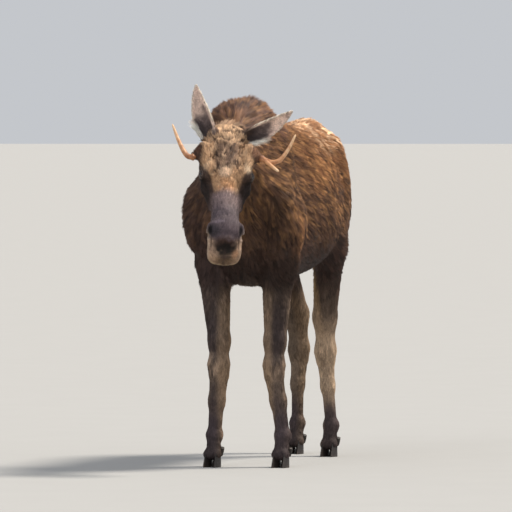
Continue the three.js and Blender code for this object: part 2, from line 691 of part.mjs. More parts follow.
for (const [sideName, side] of [['left', 1], ['right', -1]]) {
  const place = [side * EYE[0], EYE[1], EYE[2]];
  const ball = new THREE.SphereGeometry(EYE_RADIUS, 14, 8);
  const room = new THREE.SphereGeometry(EYE_RADIUS + 2 * GAP, 14, 8);
  skull = skull.subtract(solid(placed(room, place)));
  add(head, `eye_${sideName}`, solid(placed(ball, place)), eyeball);
}
skull = mainBody(skull);
add(head, 'head', skull, coat.face);

const ears = {
  left: { side: 1, root: [84, -54, 46], tip: [300, 58, 132], hollow: [0.2, -0.8, 0.6] },
  right: { side: -1, root: [-84, -52, 46], tip: [-160, 172, 150], hollow: [-0.2, -0.8, 0.6] },
};
for (const [sideName, { side, root, tip, hollow }] of Object.entries(ears)) {
  const leaf = solid(pointed(ear(side), root, tip, hollow));
  add(head, `ear_${sideName}`, clear(leaf, skull, root, [0, -40, 0]), coat.ear);
}

// Each antler leaves its pedicle sideways. The left one forks close to its base.
const antlers = {
  antler_right: { points: [[-114, -144, 58], [-150, -166, 60], [-182, -160, 60], [-216, -100, 64], [-252, -8, 74]], radius: 14 },
  antler_left_beam: { points: [[114, -144, 58], [152, -160, 64], [202, -182, 72], [240, -172, 84], [276, -124, 108], [304, -66, 134]], radius: 14 },
};
for (const [name, { points, radius }] of Object.entries(antlers)) {
  const horned = solid(spike(points, radius, 7, 11, 8));
  add(head, name, clear(horned, skull, points[0], [0, -130, 40]), antler);
}
const tinePoints = [[152, -156, 66], [188, -198, 84], [232, -242, 96]];
const beamRoom = solid(spike(antlers.antler_left_beam.points, 14 + GAP, 7 + GAP, 11, 8));
const tine = solid(spike(tinePoints, 11, 7, 7, 8)).subtract(beamRoom);
add(head, 'antler_left_front_tine', clear(tine, skull, [122, -146, 60], [0, -130, 40]), antler);

// The bell hangs from the throat, behind the jaw.
const bellTop = new THREE.Vector3(0, -185, -118).applyMatrix4(headPose);
const bellForm = join([
  [cone([bellTop.x, bellTop.y + 10, bellTop.z], [bellTop.x, bellTop.y + 22, bellTop.z - 120], 36, 24, 0.7), 14],
  [cone([bellTop.x, bellTop.y + 20, bellTop.z - 100], [bellTop.x, bellTop.y + 24, bellTop.z - 178], 25, 9, 0.8), 14],
]);
const bellLow = [bellTop.x - 60, bellTop.y - 60, bellTop.z - 220];
const bellHigh = [bellTop.x + 60, bellTop.y + 90, bellTop.z + 60];
const bell = shape(bellForm, bellLow, bellHigh, [16, 18, 26]);
const aboveBell = [bellTop.x, bellTop.y, bellTop.z + 110];
add(moose, 'bell', clear(bell, moved(skull, headPose), bellTop.toArray(), aboveBell), coat.neck);

// The origin is under the middle of the animal, on the ground.
moose.updateMatrixWorld(true);
const bounds = new THREE.Box3().setFromObject(moose, true);
const middle = bounds.getCenter(new THREE.Vector3());
moose.position.set(-middle.x, -middle.y, -bounds.min.z);

export default moose;
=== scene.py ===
"""A young bull moose: one skin, its coat, eyes, antlers and hooves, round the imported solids."""
import math
from types import SimpleNamespace

import bmesh
import bpy
import numpy as np
from mathutils import Matrix, Vector


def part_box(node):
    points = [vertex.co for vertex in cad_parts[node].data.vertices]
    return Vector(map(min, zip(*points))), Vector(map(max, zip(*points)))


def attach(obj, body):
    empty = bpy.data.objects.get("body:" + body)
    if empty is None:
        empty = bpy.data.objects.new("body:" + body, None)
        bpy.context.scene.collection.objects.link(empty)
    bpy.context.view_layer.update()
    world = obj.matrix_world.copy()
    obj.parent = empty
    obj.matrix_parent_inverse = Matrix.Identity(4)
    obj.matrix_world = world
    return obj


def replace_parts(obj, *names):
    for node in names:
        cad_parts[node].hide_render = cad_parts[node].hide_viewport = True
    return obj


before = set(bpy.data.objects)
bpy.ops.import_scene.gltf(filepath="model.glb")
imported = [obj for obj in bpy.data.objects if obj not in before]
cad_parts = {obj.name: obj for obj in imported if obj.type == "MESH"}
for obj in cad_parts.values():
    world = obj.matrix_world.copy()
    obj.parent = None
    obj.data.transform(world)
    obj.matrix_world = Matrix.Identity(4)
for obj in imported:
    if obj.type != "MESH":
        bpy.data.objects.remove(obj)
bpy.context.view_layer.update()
rng = np.random.default_rng(11)

# ------------------------------------------------------------------ places and sizes, in mm
# The forms below stand in the CAD source's own frame: +Z up, the animal faces -Y, its left is +X.
MM = 0.001
WITHERS, CROUP, BRISKET = 1702, 1620, 826
KNEE_Z, HOCK_Z, FETLOCK_Z = 462, 500, 150
HEAD_LENGTH = 642
POLL = (38, -1012, 1537)
EYE, EYE_RADIUS = (97, -243, 33), 20      # in the head's frame, mirrored for the right one
BODY_CELL = 7.8
HEAD_CELL = 2.7
FAR = 1000.0


def turn(axis, degrees):
    return np.array(Matrix.Rotation(math.radians(degrees), 3, axis))


HEAD_TURN = turn("Z", 20.5) @ turn("X", 60) @ turn("Z", -3.3)


def from_head(p):
    return np.asarray(p) @ HEAD_TURN.T + np.array(POLL)


def to_head(p):
    return (np.asarray(p) - np.array(POLL)) @ HEAD_TURN


def packed_shift():
    """From the source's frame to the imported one, read off the left eye."""
    low, high = (np.array(v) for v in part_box("eye_left"))
    return ((low + high) / 2 / MM - from_head(EYE)) * (1, 1, 0)


SHIFT = packed_shift()


def to_scene(p):
    return (np.asarray(p) + SHIFT) * MM


# ------------------------------------------------------------------ fields
def smooth_min(a, b, k):
    h = np.maximum(k - np.abs(a - b), 0) / k
    return np.minimum(a, b) - h * h * k * 0.25


def smooth_max(a, b, k):
    return -smooth_min(-a, -b, k)


def lerp(a, b, t):
    return a + (b - a) * t


def mirror(p, side):
    """A point on the left, or its mirror image for side -1."""
    return (p[0] * side, *p[1:])


def step(low, high, x):
    t = np.clip((x - low) / (high - low), 0, 1)
    return t * t * (3 - 2 * t)


def head_mask(h):
    """1 on the head and 0 on the neck, for points in the head's frame."""
    return step(46, 4, h[:, 1]) * step(-150, -132, h[:, 2])


def cone(a, b, ra, rb, squeeze=1.0):
    """A cone with round ends, as (field, lowest corner, highest corner)."""
    ax = a[0] / squeeze
    dx, dy, dz = b[0] / squeeze - ax, b[1] - a[1], b[2] - a[2]
    l2 = dx * dx + dy * dy + dz * dz
    dr = ra - rb
    a2 = l2 - dr * dr

    def field(x, y, z):
        px, py, pz = x / squeeze - ax, y - a[1], z - a[2]
        along = px * dx + py * dy + pz * dz
        beyond = along - l2
        x2 = (px * l2 - dx * along) ** 2 + (py * l2 - dy * along) ** 2 + (pz * l2 - dz * along) ** 2
        y2, z2 = along * along * l2, beyond * beyond * l2
        k = np.sign(dr) * dr * dr * x2
        side = (np.sqrt(x2 * a2 / l2) + along * dr) / l2 - ra
        near = np.where(np.sign(along) * a2 * y2 < k, np.sqrt(x2 + y2) / l2 - ra, side)
        d = np.where(np.sign(beyond) * a2 * z2 > k, np.sqrt(x2 + z2) / l2 - rb, near)
        return d * min(1, squeeze)

    round_a, round_b = (np.array([r * squeeze, r, r]) for r in (ra, rb))
    return field, np.minimum(a - round_a, b - round_b), np.maximum(a + round_a, b + round_b)


def egg(centre, radii, tip=0, turned=0):
    ct, st = math.cos(math.radians(tip)), math.sin(math.radians(tip))
    cu, su = math.cos(math.radians(turned)), math.sin(math.radians(turned))

    def field(x, y, z):
        px, py, pz = x - centre[0], y - centre[1], z - centre[2]
        qx, qy = px * cu + py * su, -px * su + py * cu
        ux, uy, uz = qx / radii[0], (qy * ct + pz * st) / radii[1], (-qy * st + pz * ct) / radii[2]
        k0 = np.sqrt(ux * ux + uy * uy + uz * uz)
        k1 = np.sqrt((ux / radii[0]) ** 2 + (uy / radii[1]) ** 2 + (uz / radii[2]) ** 2)
        return k0 * (k0 - 1) / np.maximum(k1, 1e-6)

    reach = np.full(3, max(radii)) if tip or turned else np.array(radii)
    return field, centre - reach, centre + reach


def between(stations, place):
    """Values between stations on a smooth curve, one array for each value."""
    s = np.array(stations, float)
    at = np.clip(place, s[0, 0], s[-1, 0])
    i = np.clip(np.searchsorted(s[:, 0], at, side="right") - 1, 0, len(s) - 2)
    before, after = np.maximum(i - 1, 0), np.minimum(i + 2, len(s) - 1)
    span = s[i + 1, 0] - s[i, 0]
    t = (at - s[i, 0]) / span
    t2, t3 = t * t, t * t * t
    out = []
    for n in range(1, s.shape[1]):
        v, w = s[i, n], s[i + 1, n]
        m0 = (w - s[before, n]) / (s[i + 1, 0] - s[before, 0]) * span
        m1 = (s[after, n] - v) / (s[after, 0] - s[i, 0]) * span
        start = (2 * t3 - 3 * t2 + 1) * v + (t3 - 2 * t2 + t) * m0
        out.append(start + (3 * t2 - 2 * t3) * w + (t3 - t2) * m1)
    return out


def loft(stations, roundness, squareness):
    first, last = stations[0][0], stations[-1][0]

    def field(x, y, z):
        top, bottom, half, taper = between(stations, y)
        middle, rise = (top + bottom) / 2, (top - bottom) / 2
        up = (z - middle) / rise
        u = x / (half * (1 - taper * np.clip(up, -1.3, 1.3)))
        g = (np.abs(u) ** squareness + np.abs(up) ** squareness) ** (1 / squareness)
        across = np.maximum(np.hypot(x, z - middle), 1) * (1 - 1 / np.maximum(g, 0.05))
        return smooth_max(across, np.maximum(first - y, y - last) + 0 * across, roundness)

    wide = max(s[3] * (1 + abs(s[4])) for s in stations)
    low = [-wide, first - 5, min(s[2] for s in stations) - 10]
    high = [wide, last + 5, max(s[1] for s in stations) + 10]
    return field, low, high


# ------------------------------------------------------------------ the forms of the body
TRUNK = [
    # y, top, bottom, half width, taper
    [-770, 1400, 1040, 110, 0.12],
    [-660, 1590, 920, 166, 0.24],
    [-520, WITHERS - 12, BRISKET, 200, 0.32],
    [-360, 1640, 834, 216, 0.42],
    [-150, 1606, 846, 244, 0.24],
    [100, 1590, 852, 254, 0.18],
    [330, 1606, 892, 228, 0.24],
    [500, CROUP, 968, 196, 0.3],
    [640, 1590, 1042, 148, 0.3],
    [760, 1484, 1100, 108, 0.22],
    [845, 1360, 1180, 66, 0.1],
]
FORELEGS = [
    dict(side=1, elbow=(138, -470, 945), knee=(136, -556), foot=(172, -545)),
    dict(side=-1, elbow=(-166, -480, 945), knee=(-124, -572), foot=(-145, -578)),
]
HINDLEGS = [
    dict(side=1, stifle=(142, 370, 985), hock=(84, 560), foot=(116, 535)),
    dict(side=-1, stifle=(-150, 480, 985), hock=(-112, 800), foot=(-110, 755)),
]


def shoulder(s):
    return [
        (egg((s * 130, -500, 1350), (76, 135, 235), -16), 70),
        (egg((s * 178, -664, 1148), (92, 108, 150), 18), 110),
        (cone((s * 142, -650, 1250), (s * 36, -890, 1385), 106, 84, 0.8), 80),
        (egg((s * 184, -475, 1120), (76, 125, 150), -24), 70),
        (cone((s * 174, -580, 1080), (s * 158, -490, 930), 108, 86, 0.88), 60),
    ]


def haunch(s, stifle):
    return [
        (egg((s * 95, 540, 1385), (80, 190, 155), 12), 80),
        (egg((s * 114, 560, 1190), (76, 160, 235), 14), 80),
        (egg((s * 98, 690, 1205), (57, 92, 180), 14), 80),
        (egg((stifle[0], stifle[1] + 50, stifle[2] + 70), (68, 105, 140), -20), 70),
        (egg((s * 66, 766, 1350), (50, 62, 95)), 80),
    ]


NECK = [
    (egg((-28, -520, 1538), (174, 225, 162), -6), 60),
    (cone((0, -560, 1520), (28, -950, 1470), 118, 56, 0.76), 60),
    (cone((0, -560, 1370), (26, -950, 1415), 225, 120, 0.74), 80),
    (cone((0, -660, 1190), (24, -925, 1345), 160, 92, 0.74), 80),
    (egg((0, -745, 1130), (118, 90, 130), 20), 80),
]


def foot(x, y, s):
    return [
        (cone((x, y + 6, FETLOCK_Z - 6), (x - 2 * s, y - 26, 62), 34, 33, 1.12), 22),
        (egg((x, y + 12, FETLOCK_Z - 2), (37, 42, 38)), 20),
        *[(egg((x + out, y - 30, 58), (25, 36, 30)), 14) for out in (20, -20)],
        (egg((x, y + 36, 96), (28, 22, 34), 20), 16),
    ]


def foreleg(leg):
    s, (ex, ey, ez), (kx, ky), (x, y) = leg.values()
    return [
        (cone((ex, ey - 28, ez), (kx + s * 2, ky + 14, KNEE_Z + 120), 108, 60, 0.84), 50),
        (cone((ex, ey + 38, ez + 20), (ex, ey + 10, ez - 120), 62, 44, 0.8), 50),
        (cone((kx, ky + 10, KNEE_Z + 120), (kx, ky + 4, KNEE_Z + 30), 54, 50, 0.94), 30),
        (egg((kx, ky - 2, KNEE_Z), (54, 54, 62)), 30),
        (egg((kx, ky + 34, KNEE_Z - 18), (34, 28, 42)), 24),
        (cone((kx, ky + 2, KNEE_Z - 46), (lerp(kx, x, 0.45), y + 4, 300), 48, 39), 26),
        (cone((lerp(kx, x, 0.42), y + 4, 310), (x, y + 8, FETLOCK_Z), 39, 35), 26),
        (cone((lerp(kx, x, 0.4), y + 24, 330), (x, y + 30, 170), 20, 20, 0.9), 20),
        *foot(x, y, s),
    ]


def hindleg(leg):
    s, (sx, sy, sz), (hx, hy), (x, y) = leg.values()
    heel = (hx, hy + 50, HOCK_Z + 52)
    return [
        (cone((sx, sy + 30, sz), (hx + s * 6, hy - 34, HOCK_Z + 170), 114, 74, 0.78), 60),
        (cone((sx - s * 6, sy + 110, sz + 20), (hx, hy + 20, HOCK_Z + 170), 96, 34, 0.62), 50),
        (cone((hx + s * 4, hy - 26, HOCK_Z + 170), (hx, hy, HOCK_Z + 20), 66, 54, 0.86), 30),
        (cone((hx, hy + 26, HOCK_Z + 190), heel, 24, 25, 0.85), 22),
        (cone(heel, (hx, hy + 36, HOCK_Z - 40), 30, 34, 0.84), 26),
        (egg((hx, hy - 2, HOCK_Z), (55, 58, 70), -12), 26),
        (cone((hx, hy + 6, HOCK_Z - 50), (lerp(hx, x, 0.5), lerp(hy, y, 0.62), 330), 48, 37, 0.94), 26),
        (cone((lerp(hx, x, 0.46), lerp(hy, y, 0.58), 340), (x, y + 8, FETLOCK_Z), 37, 34, 0.9), 26),
        (cone((lerp(hx, x, 0.4), hy + 26, 400), (x, y + 30, 170), 22, 20, 0.9), 20),
        *foot(x, y, s),
    ]


TAIL = [
    (cone((0, 790, 1420), (0, 852, 1310), 32, 24, 1.1), 20),
    (cone((0, 842, 1330), (0, 858, 1262), 26, 15, 1.1), 14),
]
BODY = [
    (loft(TRUNK, 110, 2.1), 10), *shoulder(1), *shoulder(-1),
    *haunch(1, HINDLEGS[0]["stifle"]), *haunch(-1, HINDLEGS[1]["stifle"]), *NECK,
    *foreleg(FORELEGS[0]), *foreleg(FORELEGS[1]), *hindleg(HINDLEGS[0]), *hindleg(HINDLEGS[1]), *TAIL,
]

# ------------------------------------------------------------------ the forms of the head, in its own frame
HEAD = [
    # y, top, bottom, half width, taper
    [-HEAD_LENGTH, -14, -92, 46, -0.05],
    [-608, 34, -118, 66, -0.02],
    [-562, 56, -114, 70, 0.02],
    [-516, 64, -104, 76, 0.06],
    [-450, 58, -92, 68, 0.08],
    [-384, 54, -94, 70, 0.16],
    [-300, 62, -114, 96, 0.26],
    [-215, 80, -132, 107, 0.16],
    [-120, 86, -130, 98, 0.04],
    [-30, 66, -100, 90, 0],
    [22, 40, -70, 78, 0],
]


def face(s):
    return [
        (egg((s * 92, -202, 51), (25, 54, 24), 4, s * -24), 44),
        (egg((s * 88, -262, -4), (27, 62, 30), -4, s * 8), 30),
        (egg((s * 96, -150, 48), (27, 46, 25)), 34),
        (cone((s * 108, -108, 50), (s * 146, -156, 58), 25, 19), 34),
        (egg((s * 70, -150, -58), (42, 92, 66), 10), 40),
        (egg((s * 59, -520, 24), (31, 42, 34), 10, s * 8), 30),
        (egg((s * 43, -600, -52), (35, 42, 52), -14), 26),
        (egg((s * 60, -40, 46), (30, 36, 34)), 26),
    ]


FACE = [
    (loft(HEAD, 40, 2.25), 20), *face(1), *face(-1),
    (egg((0, -500, 42), (52, 86, 28), 2), 30),
    (egg((0, -616, -38), (46, 34, 50), -14), 26),
    (egg((0, -552, -102), (46, 58, 26), 8), 22),
    (cone((0, -24, -24), (0, 20, -104), 62, 66, 1.1), 50),
]
PAD = 26.0      # how far round each form the field is worked out

BELL_TOP, BELL_LENGTH = from_head((0, -185, -118)), 118
BELL = cone(to_head(BELL_TOP + (0, 10, 0)), to_head(BELL_TOP + (0, 24, -BELL_LENGTH)), 26, 13, 0.72)


class Block:
    """A field on a grid, which forms change only near themselves."""

    def __init__(self, x, y, z):
        self.x, self.y, self.z = x, y, z
        self.d = np.full((x.size, y.size, z.size), FAR, np.float32)

    def near(self, low, high, pad, change):
        i, j, k = [slice(*np.searchsorted(v.ravel(), [l - pad, h + pad]))
                   for v, l, h in zip((self.x, self.y, self.z), low, high)]
        part = self.d[i, j, k]
        if part.size:
            self.d[i, j, k] = change(part, self.x[i], self.y[:, j], self.z[:, :, k])

    def join(self, form, k):
        field, low, high = form
        self.near(low, high, k + PAD, lambda d, x, y, z: smooth_min(d, field(x, y, z), k))

    def carve(self, form, k):
        field, low, high = form
        self.near(low, high, k, lambda d, x, y, z: smooth_max(d, -field(x, y, z), k))

    def groove(self, a, b, deep, wide):
        """A soft furrow from a to b."""
        a, ab = np.array(a, float), np.array(b, float) - np.array(a, float)

        def change(d, x, y, z):
            t = np.clip(((x - a[0]) * ab[0] + (y - a[1]) * ab[1] + (z - a[2]) * ab[2]) / ab.dot(ab), 0, 1)
            off2 = (x - a[0] - t * ab[0]) ** 2 + (y - a[1] - t * ab[1]) ** 2 + (z - a[2] - t * ab[2]) ** 2
            return d + deep * np.exp(-off2 / wide ** 2)

        self.near(np.minimum(a, a + ab), np.maximum(a, a + ab), 2.6 * wide, change)


def fill_cloud(d, x, y, z, forms):
    """The same at loose points."""
    low_p, high_p = [v.min() for v in (x, y, z)], [v.max() for v in (x, y, z)]
    for (field, low, high), k in forms:
        pad = k + PAD
        if any(h + pad < lp or l - pad > hp for l, h, lp, hp in zip(low, high, low_p, high_p)):
            continue
        m = np.ones(len(x), bool)
        for v, l, h in zip((x, y, z), low, high):
            m &= (v > l - pad) & (v < h + pad)
        if m.any():
            d[m] = smooth_min(d[m], field(x[m], y[m], z[m]), k)
    return d


def net(values, low, cell):
    """The surface where values pass zero: a point in each cell and a quad round each edge that it crosses."""
    inside = values < 0
    nx, ny, nz = (n - 1 for n in values.shape)
    total = np.zeros((nx, ny, nz), np.int8)
    for a, b, c in np.ndindex(2, 2, 2):
        total += inside[a:nx + a, b:ny + b, c:nz + c]
    cells = np.argwhere((total > 0) & (total < 8))
    number = np.full((nx, ny, nz), -1, np.int64)
    number[tuple(cells.T)] = np.arange(len(cells))
    where, count = np.zeros((len(cells), 3)), np.zeros(len(cells))
    for a in np.ndindex(2, 2, 2):
        for axis in range(3):
            if a[axis]:
                continue
            b = tuple(a[n] + (n == axis) for n in range(3))
            va = values[tuple((cells + a).T)]
            vb = values[tuple((cells + b).T)]
            cross = (va < 0) != (vb < 0)
            t = va[cross] / (va[cross] - vb[cross])
            spot = cells[cross] + np.array(a, float)
            spot[:, axis] += t
            where[cross] += spot
            count[cross] += 1
    points = where / count[:, None] * cell + np.array(low)
    quads = []
    for axis in range(3):
        u, v = (axis + 1) % 3, (axis + 2) % 3
        near = [slice(1, -1)] * 3
        near[axis] = slice(0, -1)
        far = list(near)
        far[axis] = slice(1, None)
        a, b = inside[tuple(near)], inside[tuple(far)]
        for first in (True, False):
            spots = np.argwhere((a & ~b) if first else (~a & b))
            spots[:, u] += 1
            spots[:, v] += 1
            ring = []
            for du, dv in ((1, 1), (0, 1), (0, 0), (1, 0)):
                c = spots.copy()
                c[:, u] -= du
                c[:, v] -= dv
                ring.append(number[tuple(c.T)])
            quad = np.stack(ring if first else ring[::-1], 1)
            quads.append(quad[(quad >= 0).all(1)])
    return points, np.concatenate(quads)


def axes(low, high, cell):
    line = [np.arange(l, h + cell, cell, dtype=np.float32) for l, h in zip(low, high)]
    return line[0][:, None, None], line[1][None, :, None], line[2][None, None, :]


# ------------------------------------------------------------------ how deep the coat is
FACE_DEPTH, LEG_DEPTH = 4.5, 5.0


def coat_depth(x, y, z):
    """How far the skin lies under the tips of the coat, away from the head."""
    hump = np.exp(-(((x + 14) / 170) ** 2 + ((y + 480) / 260) ** 2 + ((z - 1660) / 130) ** 2))
    neck = step(-600, -760, y)
    rump = step(420, 700, y)
    d = 20 + 20 * hump + 6 * neck - 4 * rump
    d = d * (1 - 0.35 * step(700, 820, y) * step(1420, 1300, z))
    return lerp(LEG_DEPTH, d, step(600, 930, z))


def combine(d_body, d_head, x, y, z):
    """The field of the skin under the coat, from the fields of body and head."""
    d = smooth_min(d_body, d_head, 70)
    return d + lerp(coat_depth(x, y, z), FACE_DEPTH, step(-40, 40, d_body - d_head))


# ------------------------------------------------------------------ ears, eyes and the fine forms of the face
EAR_LENGTH, EAR_WIDTH = 250, 98
EARS = [
    dict(side=1, root=(84, -54, 46), tip=(300, 58, 132), hollow=(0.2, -0.8, 0.6)),
    dict(side=-1, root=(-84, -52, 46), tip=(-160, 172, 150), hollow=(-0.2, -0.8, 0.6)),
]


def unit(v):
    v = np.array(v, float)
    return v / np.linalg.norm(v)


def ear_axes(ear):
    up = unit(np.array(ear["tip"]) - np.array(ear["root"]))
    back = -np.array(ear["hollow"], float)
    back = unit(back - up * back.dot(up))
    return np.stack([np.cross(back, up), back, up])


for ear in EARS:
    ear["axes"] = ear_axes(ear)


def ear_place(ear, x, y, z):
    """Places in the ear's own frame: across, back and up the ear; then the bow of its section there."""
    rel = [x - ear["root"][0], y - ear["root"][1], z - ear["root"][2]]
    u, v, w = (sum(a[i] * rel[i] for i in range(3)) for a in ear["axes"])
    t = np.clip(w / EAR_LENGTH, 0, 1)
    leaf = np.sin(math.pi * lerp(0.2, 0.985, t) ** 0.78) ** 0.72
    half = np.maximum(EAR_WIDTH / 2 * np.maximum(leaf, 0.1), 5) - 5
    cup = lerp(2.5, 0.9, np.minimum(t * 1.5, 1))
    bow = half / np.where(cup > math.pi, 1, np.sin(cup / 2))
    across = u - ear["side"] * 10 * np.sin(math.pi * t)
    deep = v - 12 * t * t + np.cos(cup / 2) * bow
    return across, deep, w, t, bow, cup


def ear_field(ear, x, y, z):
    across, deep, w, t, bow, cup = ear_place(ear, x, y, z)
    round_ = np.hypot(across, deep)
    angle = np.abs(np.arctan2(across, deep))
    shell = np.abs(round_ - bow) - lerp(4.6, 2.6, t)
    d = smooth_max(shell, bow * (angle - cup / 2), 5)
    return smooth_max(smooth_max(d, w - EAR_LENGTH + 6, 5), -w - 12, 6)


EYES = []
for s in (1, -1):
    out = unit((0.72 * s, -0.25, 0.65))
    fore = unit(np.array([0, -1, 0]) + out * out[1])
    centre = np.array([(EYE[0] + 6) * s, EYE[1], EYE[2] + 2.0])
    EYES.append(dict(side=s, centre=centre, out=out, fore=fore, up=np.cross(fore, out) * -s))


def eye_place(eye, x, y, z):
    rel = [x - eye["centre"][0], y - eye["centre"][1], z - eye["centre"][2]]
    return [sum(eye[k][i] * rel[i] for i in range(3)) for k in ("fore", "up", "out")]


LID_HALF = 19       # half the length of the opening between the lids


def lid_edge(a, b):
    """Below zero in the opening between the lids, at places along and across the eye."""
    arch = np.clip(1 - (a / LID_HALF) ** 2, -3, 1)
    return np.maximum(b - 10.5 * arch - 0.15 * a, -b - 10 * arch + 0.15 * a)


def lids(d, eye, x, y, z):
    """The flesh round an eye, the two lids over it, the opening between them and the creases above."""
    a, b, c = eye_place(eye, x, y, z)
    r = np.sqrt(a * a + b * b + c * c)
    mound = egg((90 * eye["side"], EYE[1] + 3, 33), (35, 39, 36))[0](x, y, z)
    d = smooth_min(d, mound, 16)
    d = smooth_min(d, r - EYE_RADIUS - FACE_DEPTH - 4.2, 9)
    opening = smooth_max(lid_edge(a, b) - 1.4, -c + 2, 3)
    d = smooth_max(d, -opening - FACE_DEPTH, 2)
    d = np.maximum(d, EYE_RADIUS + 0.3 - FACE_DEPTH - r)
    front = step(-2, 10, c) * step(60, 34, r)
    for high, low, deep in ((17.5, 4, 0.9), (27, 6, 2.2)):
        crease = b - low - (high - low) * np.clip(1 - (a / 30) ** 2, -1, 1)
        d = d + deep * front * np.exp(-(crease / 2.8) ** 2) * step(24, 10, np.abs(a))
    return d


def lattice(i, j, k, seed):
    h = (i * 374761393 + j * 668265263 + k * 2147483647 + seed * 974711) & 0x7FFFFFFF
    h = ((h ^ (h >> 13)) * 1274126177) & 0x7FFFFFFF
    return ((h ^ (h >> 16)) & 0xFFFF) / 32767.5 - 1


def noise(p, scale, seed=0):
    """Smooth noise from -1 to 1 at points, with lumps about `scale` across."""
    q = np.asarray(p) / scale
    cell = np.floor(q).astype(np.int64)
    f = q - cell
    f = f * f * (3 - 2 * f)
    out = 0
    for a, b, c in np.ndindex(2, 2, 2):
        w = (f[..., 0] if a else 1 - f[..., 0]) * (f[..., 1] if b else 1 - f[..., 1])
        w = w * (f[..., 2] if c else 1 - f[..., 2])
        out = out + w * lattice(cell[..., 0] + a, cell[..., 1] + b, cell[..., 2] + c, seed)
    return out


def forehead_folds(h):
    """Passes zero along wavy lines that wander over the forehead."""
    return noise(h * np.array([1, 1.25, 0.8]), 31, 7) + 0.45 * noise(h, 14, 16)


def mouth_line(y):
    return -60 - 32 * step(-470, -620, y)


def fine_face(block):
    """Lids, nostrils, mouth and folds."""
    for s in (1, -1):
        for change, a, b, ra, rb, k in (
            (block.join, (92, -288, -8), (70, -400, -6), 13, 8, 22),        # ridge of the cheek
            (block.join, (70, -506, 40), (77, -548, 22), 13, 11, 20),       # rims of the nostril
            (block.join, (64, -546, 6), (60, -594, -26), 17, 17, 18),
            (block.carve, (89, -540, 12), (48, -522, 6), 11, 7, 8),         # the nostril and its tail
            (block.carve, (86, -530, 17), (75, -492, 37), 8, 5, 9),
            (block.carve, (86, -546, 14), (70, -564, 32), 7, 5, 9),
            (block.carve, (74, -560, 36), (66, -508, 60), 6, 4, 9),
        ):
            change(cone(mirror(a, s), mirror(b, s), ra, rb), k)
        for a, b, deep, wide in (
            ((84, -300, -46), (76, -400, -44), 4.0, 26),      # hollow of the cheek
            ((96, -268, 22), (80, -316, 18), 4.5, 5),         # slit in front of the eye
            ((84, -572, -6), (80, -600, -44), 3.0, 5),        # folds below the nostril
            ((88, -552, -10), (84, -572, -50), 2.4, 5),
            ((46, -468, 62), (76, -484, 34), 3.0, 7),         # folds behind it
            ((40, -446, 62), (70, -458, 36), 2.0, 6),
            ((0, -462, 66), (52, -466, 62), 2.6, 13),         # above and under the roll of the nose
            ((0, -556, 62), (58, -560, 46), 3.6, 12),
            ((61, -560, 34), (62, -616, -6), 3.0, 5),         # beside the dark core of the lip
            ((0, -604, 36), (0, -648, -50), 1.6, 5),
            ((30, -640, -20), (12, -648, -60), 2.0, 6),
            ((70, -600, -66), (72, -560, -84), 2.4, 8),       # the lip's own folds
        ):
            block.groove(mirror(a, s), mirror(b, s), deep, wide)

    def mouth(d, x, y, z):
        line = mouth_line(y)
        slit = smooth_max(np.abs(z - line) - 2.0, -d - 10, 3)
        return smooth_max(d, -smooth_max(slit, y + 470, 6), 5)

    def lumps(d, x, y, z):
        spots = np.stack(np.broadcast_arrays(x, y, z), -1)
        relief = 3.0 * noise(spots, 28, 41) + 2.0 * noise(spots, 13, 42)
        relief = relief - 3.4 * np.exp(-(forehead_folds(spots) / 0.16) ** 2) * np.exp(-(x / 90) ** 4)
        ridge = 7 * np.exp(-((y + 96 + 9 * np.sin(x / 19)) / 13) ** 2) * np.exp(-(x / 100) ** 4)
        worn = step(10, 40, z) * step(-330, -290, y) * step(0, -30, y)
        return d - (relief * worn + ridge * step(20, 45, z)).astype(np.float32)

    block.near((-110, -340, 0), (110, 0, 140), 0, lumps)
    block.near((-120, -680, -125), (120, -450, -40), 0, mouth)
    for eye in EYES:
        centre = eye["centre"]
        block.near(centre, centre, 64, lambda d, x, y, z, eye=eye: lids(d, eye, x, y, z))


# ------------------------------------------------------------------ the skin
JOIN_AT, JOIN_NORMAL = np.array([26.0, -950, 1410]), unit((0.17, -0.985, 0))


def body_surface():
    block = Block(*axes((-345, -985, 10), (345, 885, 1725), BODY_CELL))
    for form, k in BODY:
        block.join(form, k)
    x, y, z = block.x, block.y, block.z
    near = y.ravel() < -860
    px, py, pz = np.broadcast_arrays(x, y[:, near], z)
    spots = to_head(np.stack([px, py, pz], -1).reshape(-1, 3))
    d_head = np.full(block.d.shape, FAR, np.float32)
    d_head[:, near] = fill_cloud(np.full(len(spots), FAR), *spots.T, FACE).reshape(px.shape)
    return net(combine(block.d, d_head, x, y, z), (x.flat[0], y.flat[0], z.flat[0]), BODY_CELL)


def head_surface():
    block = Block(*axes((-215, -690, -262), (325, 200, 186), HEAD_CELL))
    for form, k in FACE:
        block.join(form, k)
    fine_face(block)
    x, y, z, head = block.x, block.y, block.z, block.d
    across, back = (x * m[0] + y * m[1] + z * m[2] + p for m, p in zip(HEAD_TURN[:2], POLL))
    near = np.nonzero((back > -1100) & (np.abs(across - 30) < 240) & (back < -920))
    spots = from_head(np.stack([v.ravel()[n] for v, n in zip((x, y, z), near)], -1))
    close = fill_cloud(np.full(len(spots), FAR), *spots.T, BODY)
    mixed = combine(close, head[near], *spots.T)
    head += FACE_DEPTH
    head[near] = mixed
    block.join(BELL, 24)
    for ear in EARS:
        low, high = np.minimum(ear["root"], ear["tip"]), np.maximum(ear["root"], ear["tip"])
        block.near(low, high, 70, lambda d, x, y, z, ear=ear: smooth_min(d, ear_field(ear, x, y, z), 14))
    points, quads = net(block.d, (x.flat[0], y.flat[0], z.flat[0]), HEAD_CELL)
    return from_head(points), quads


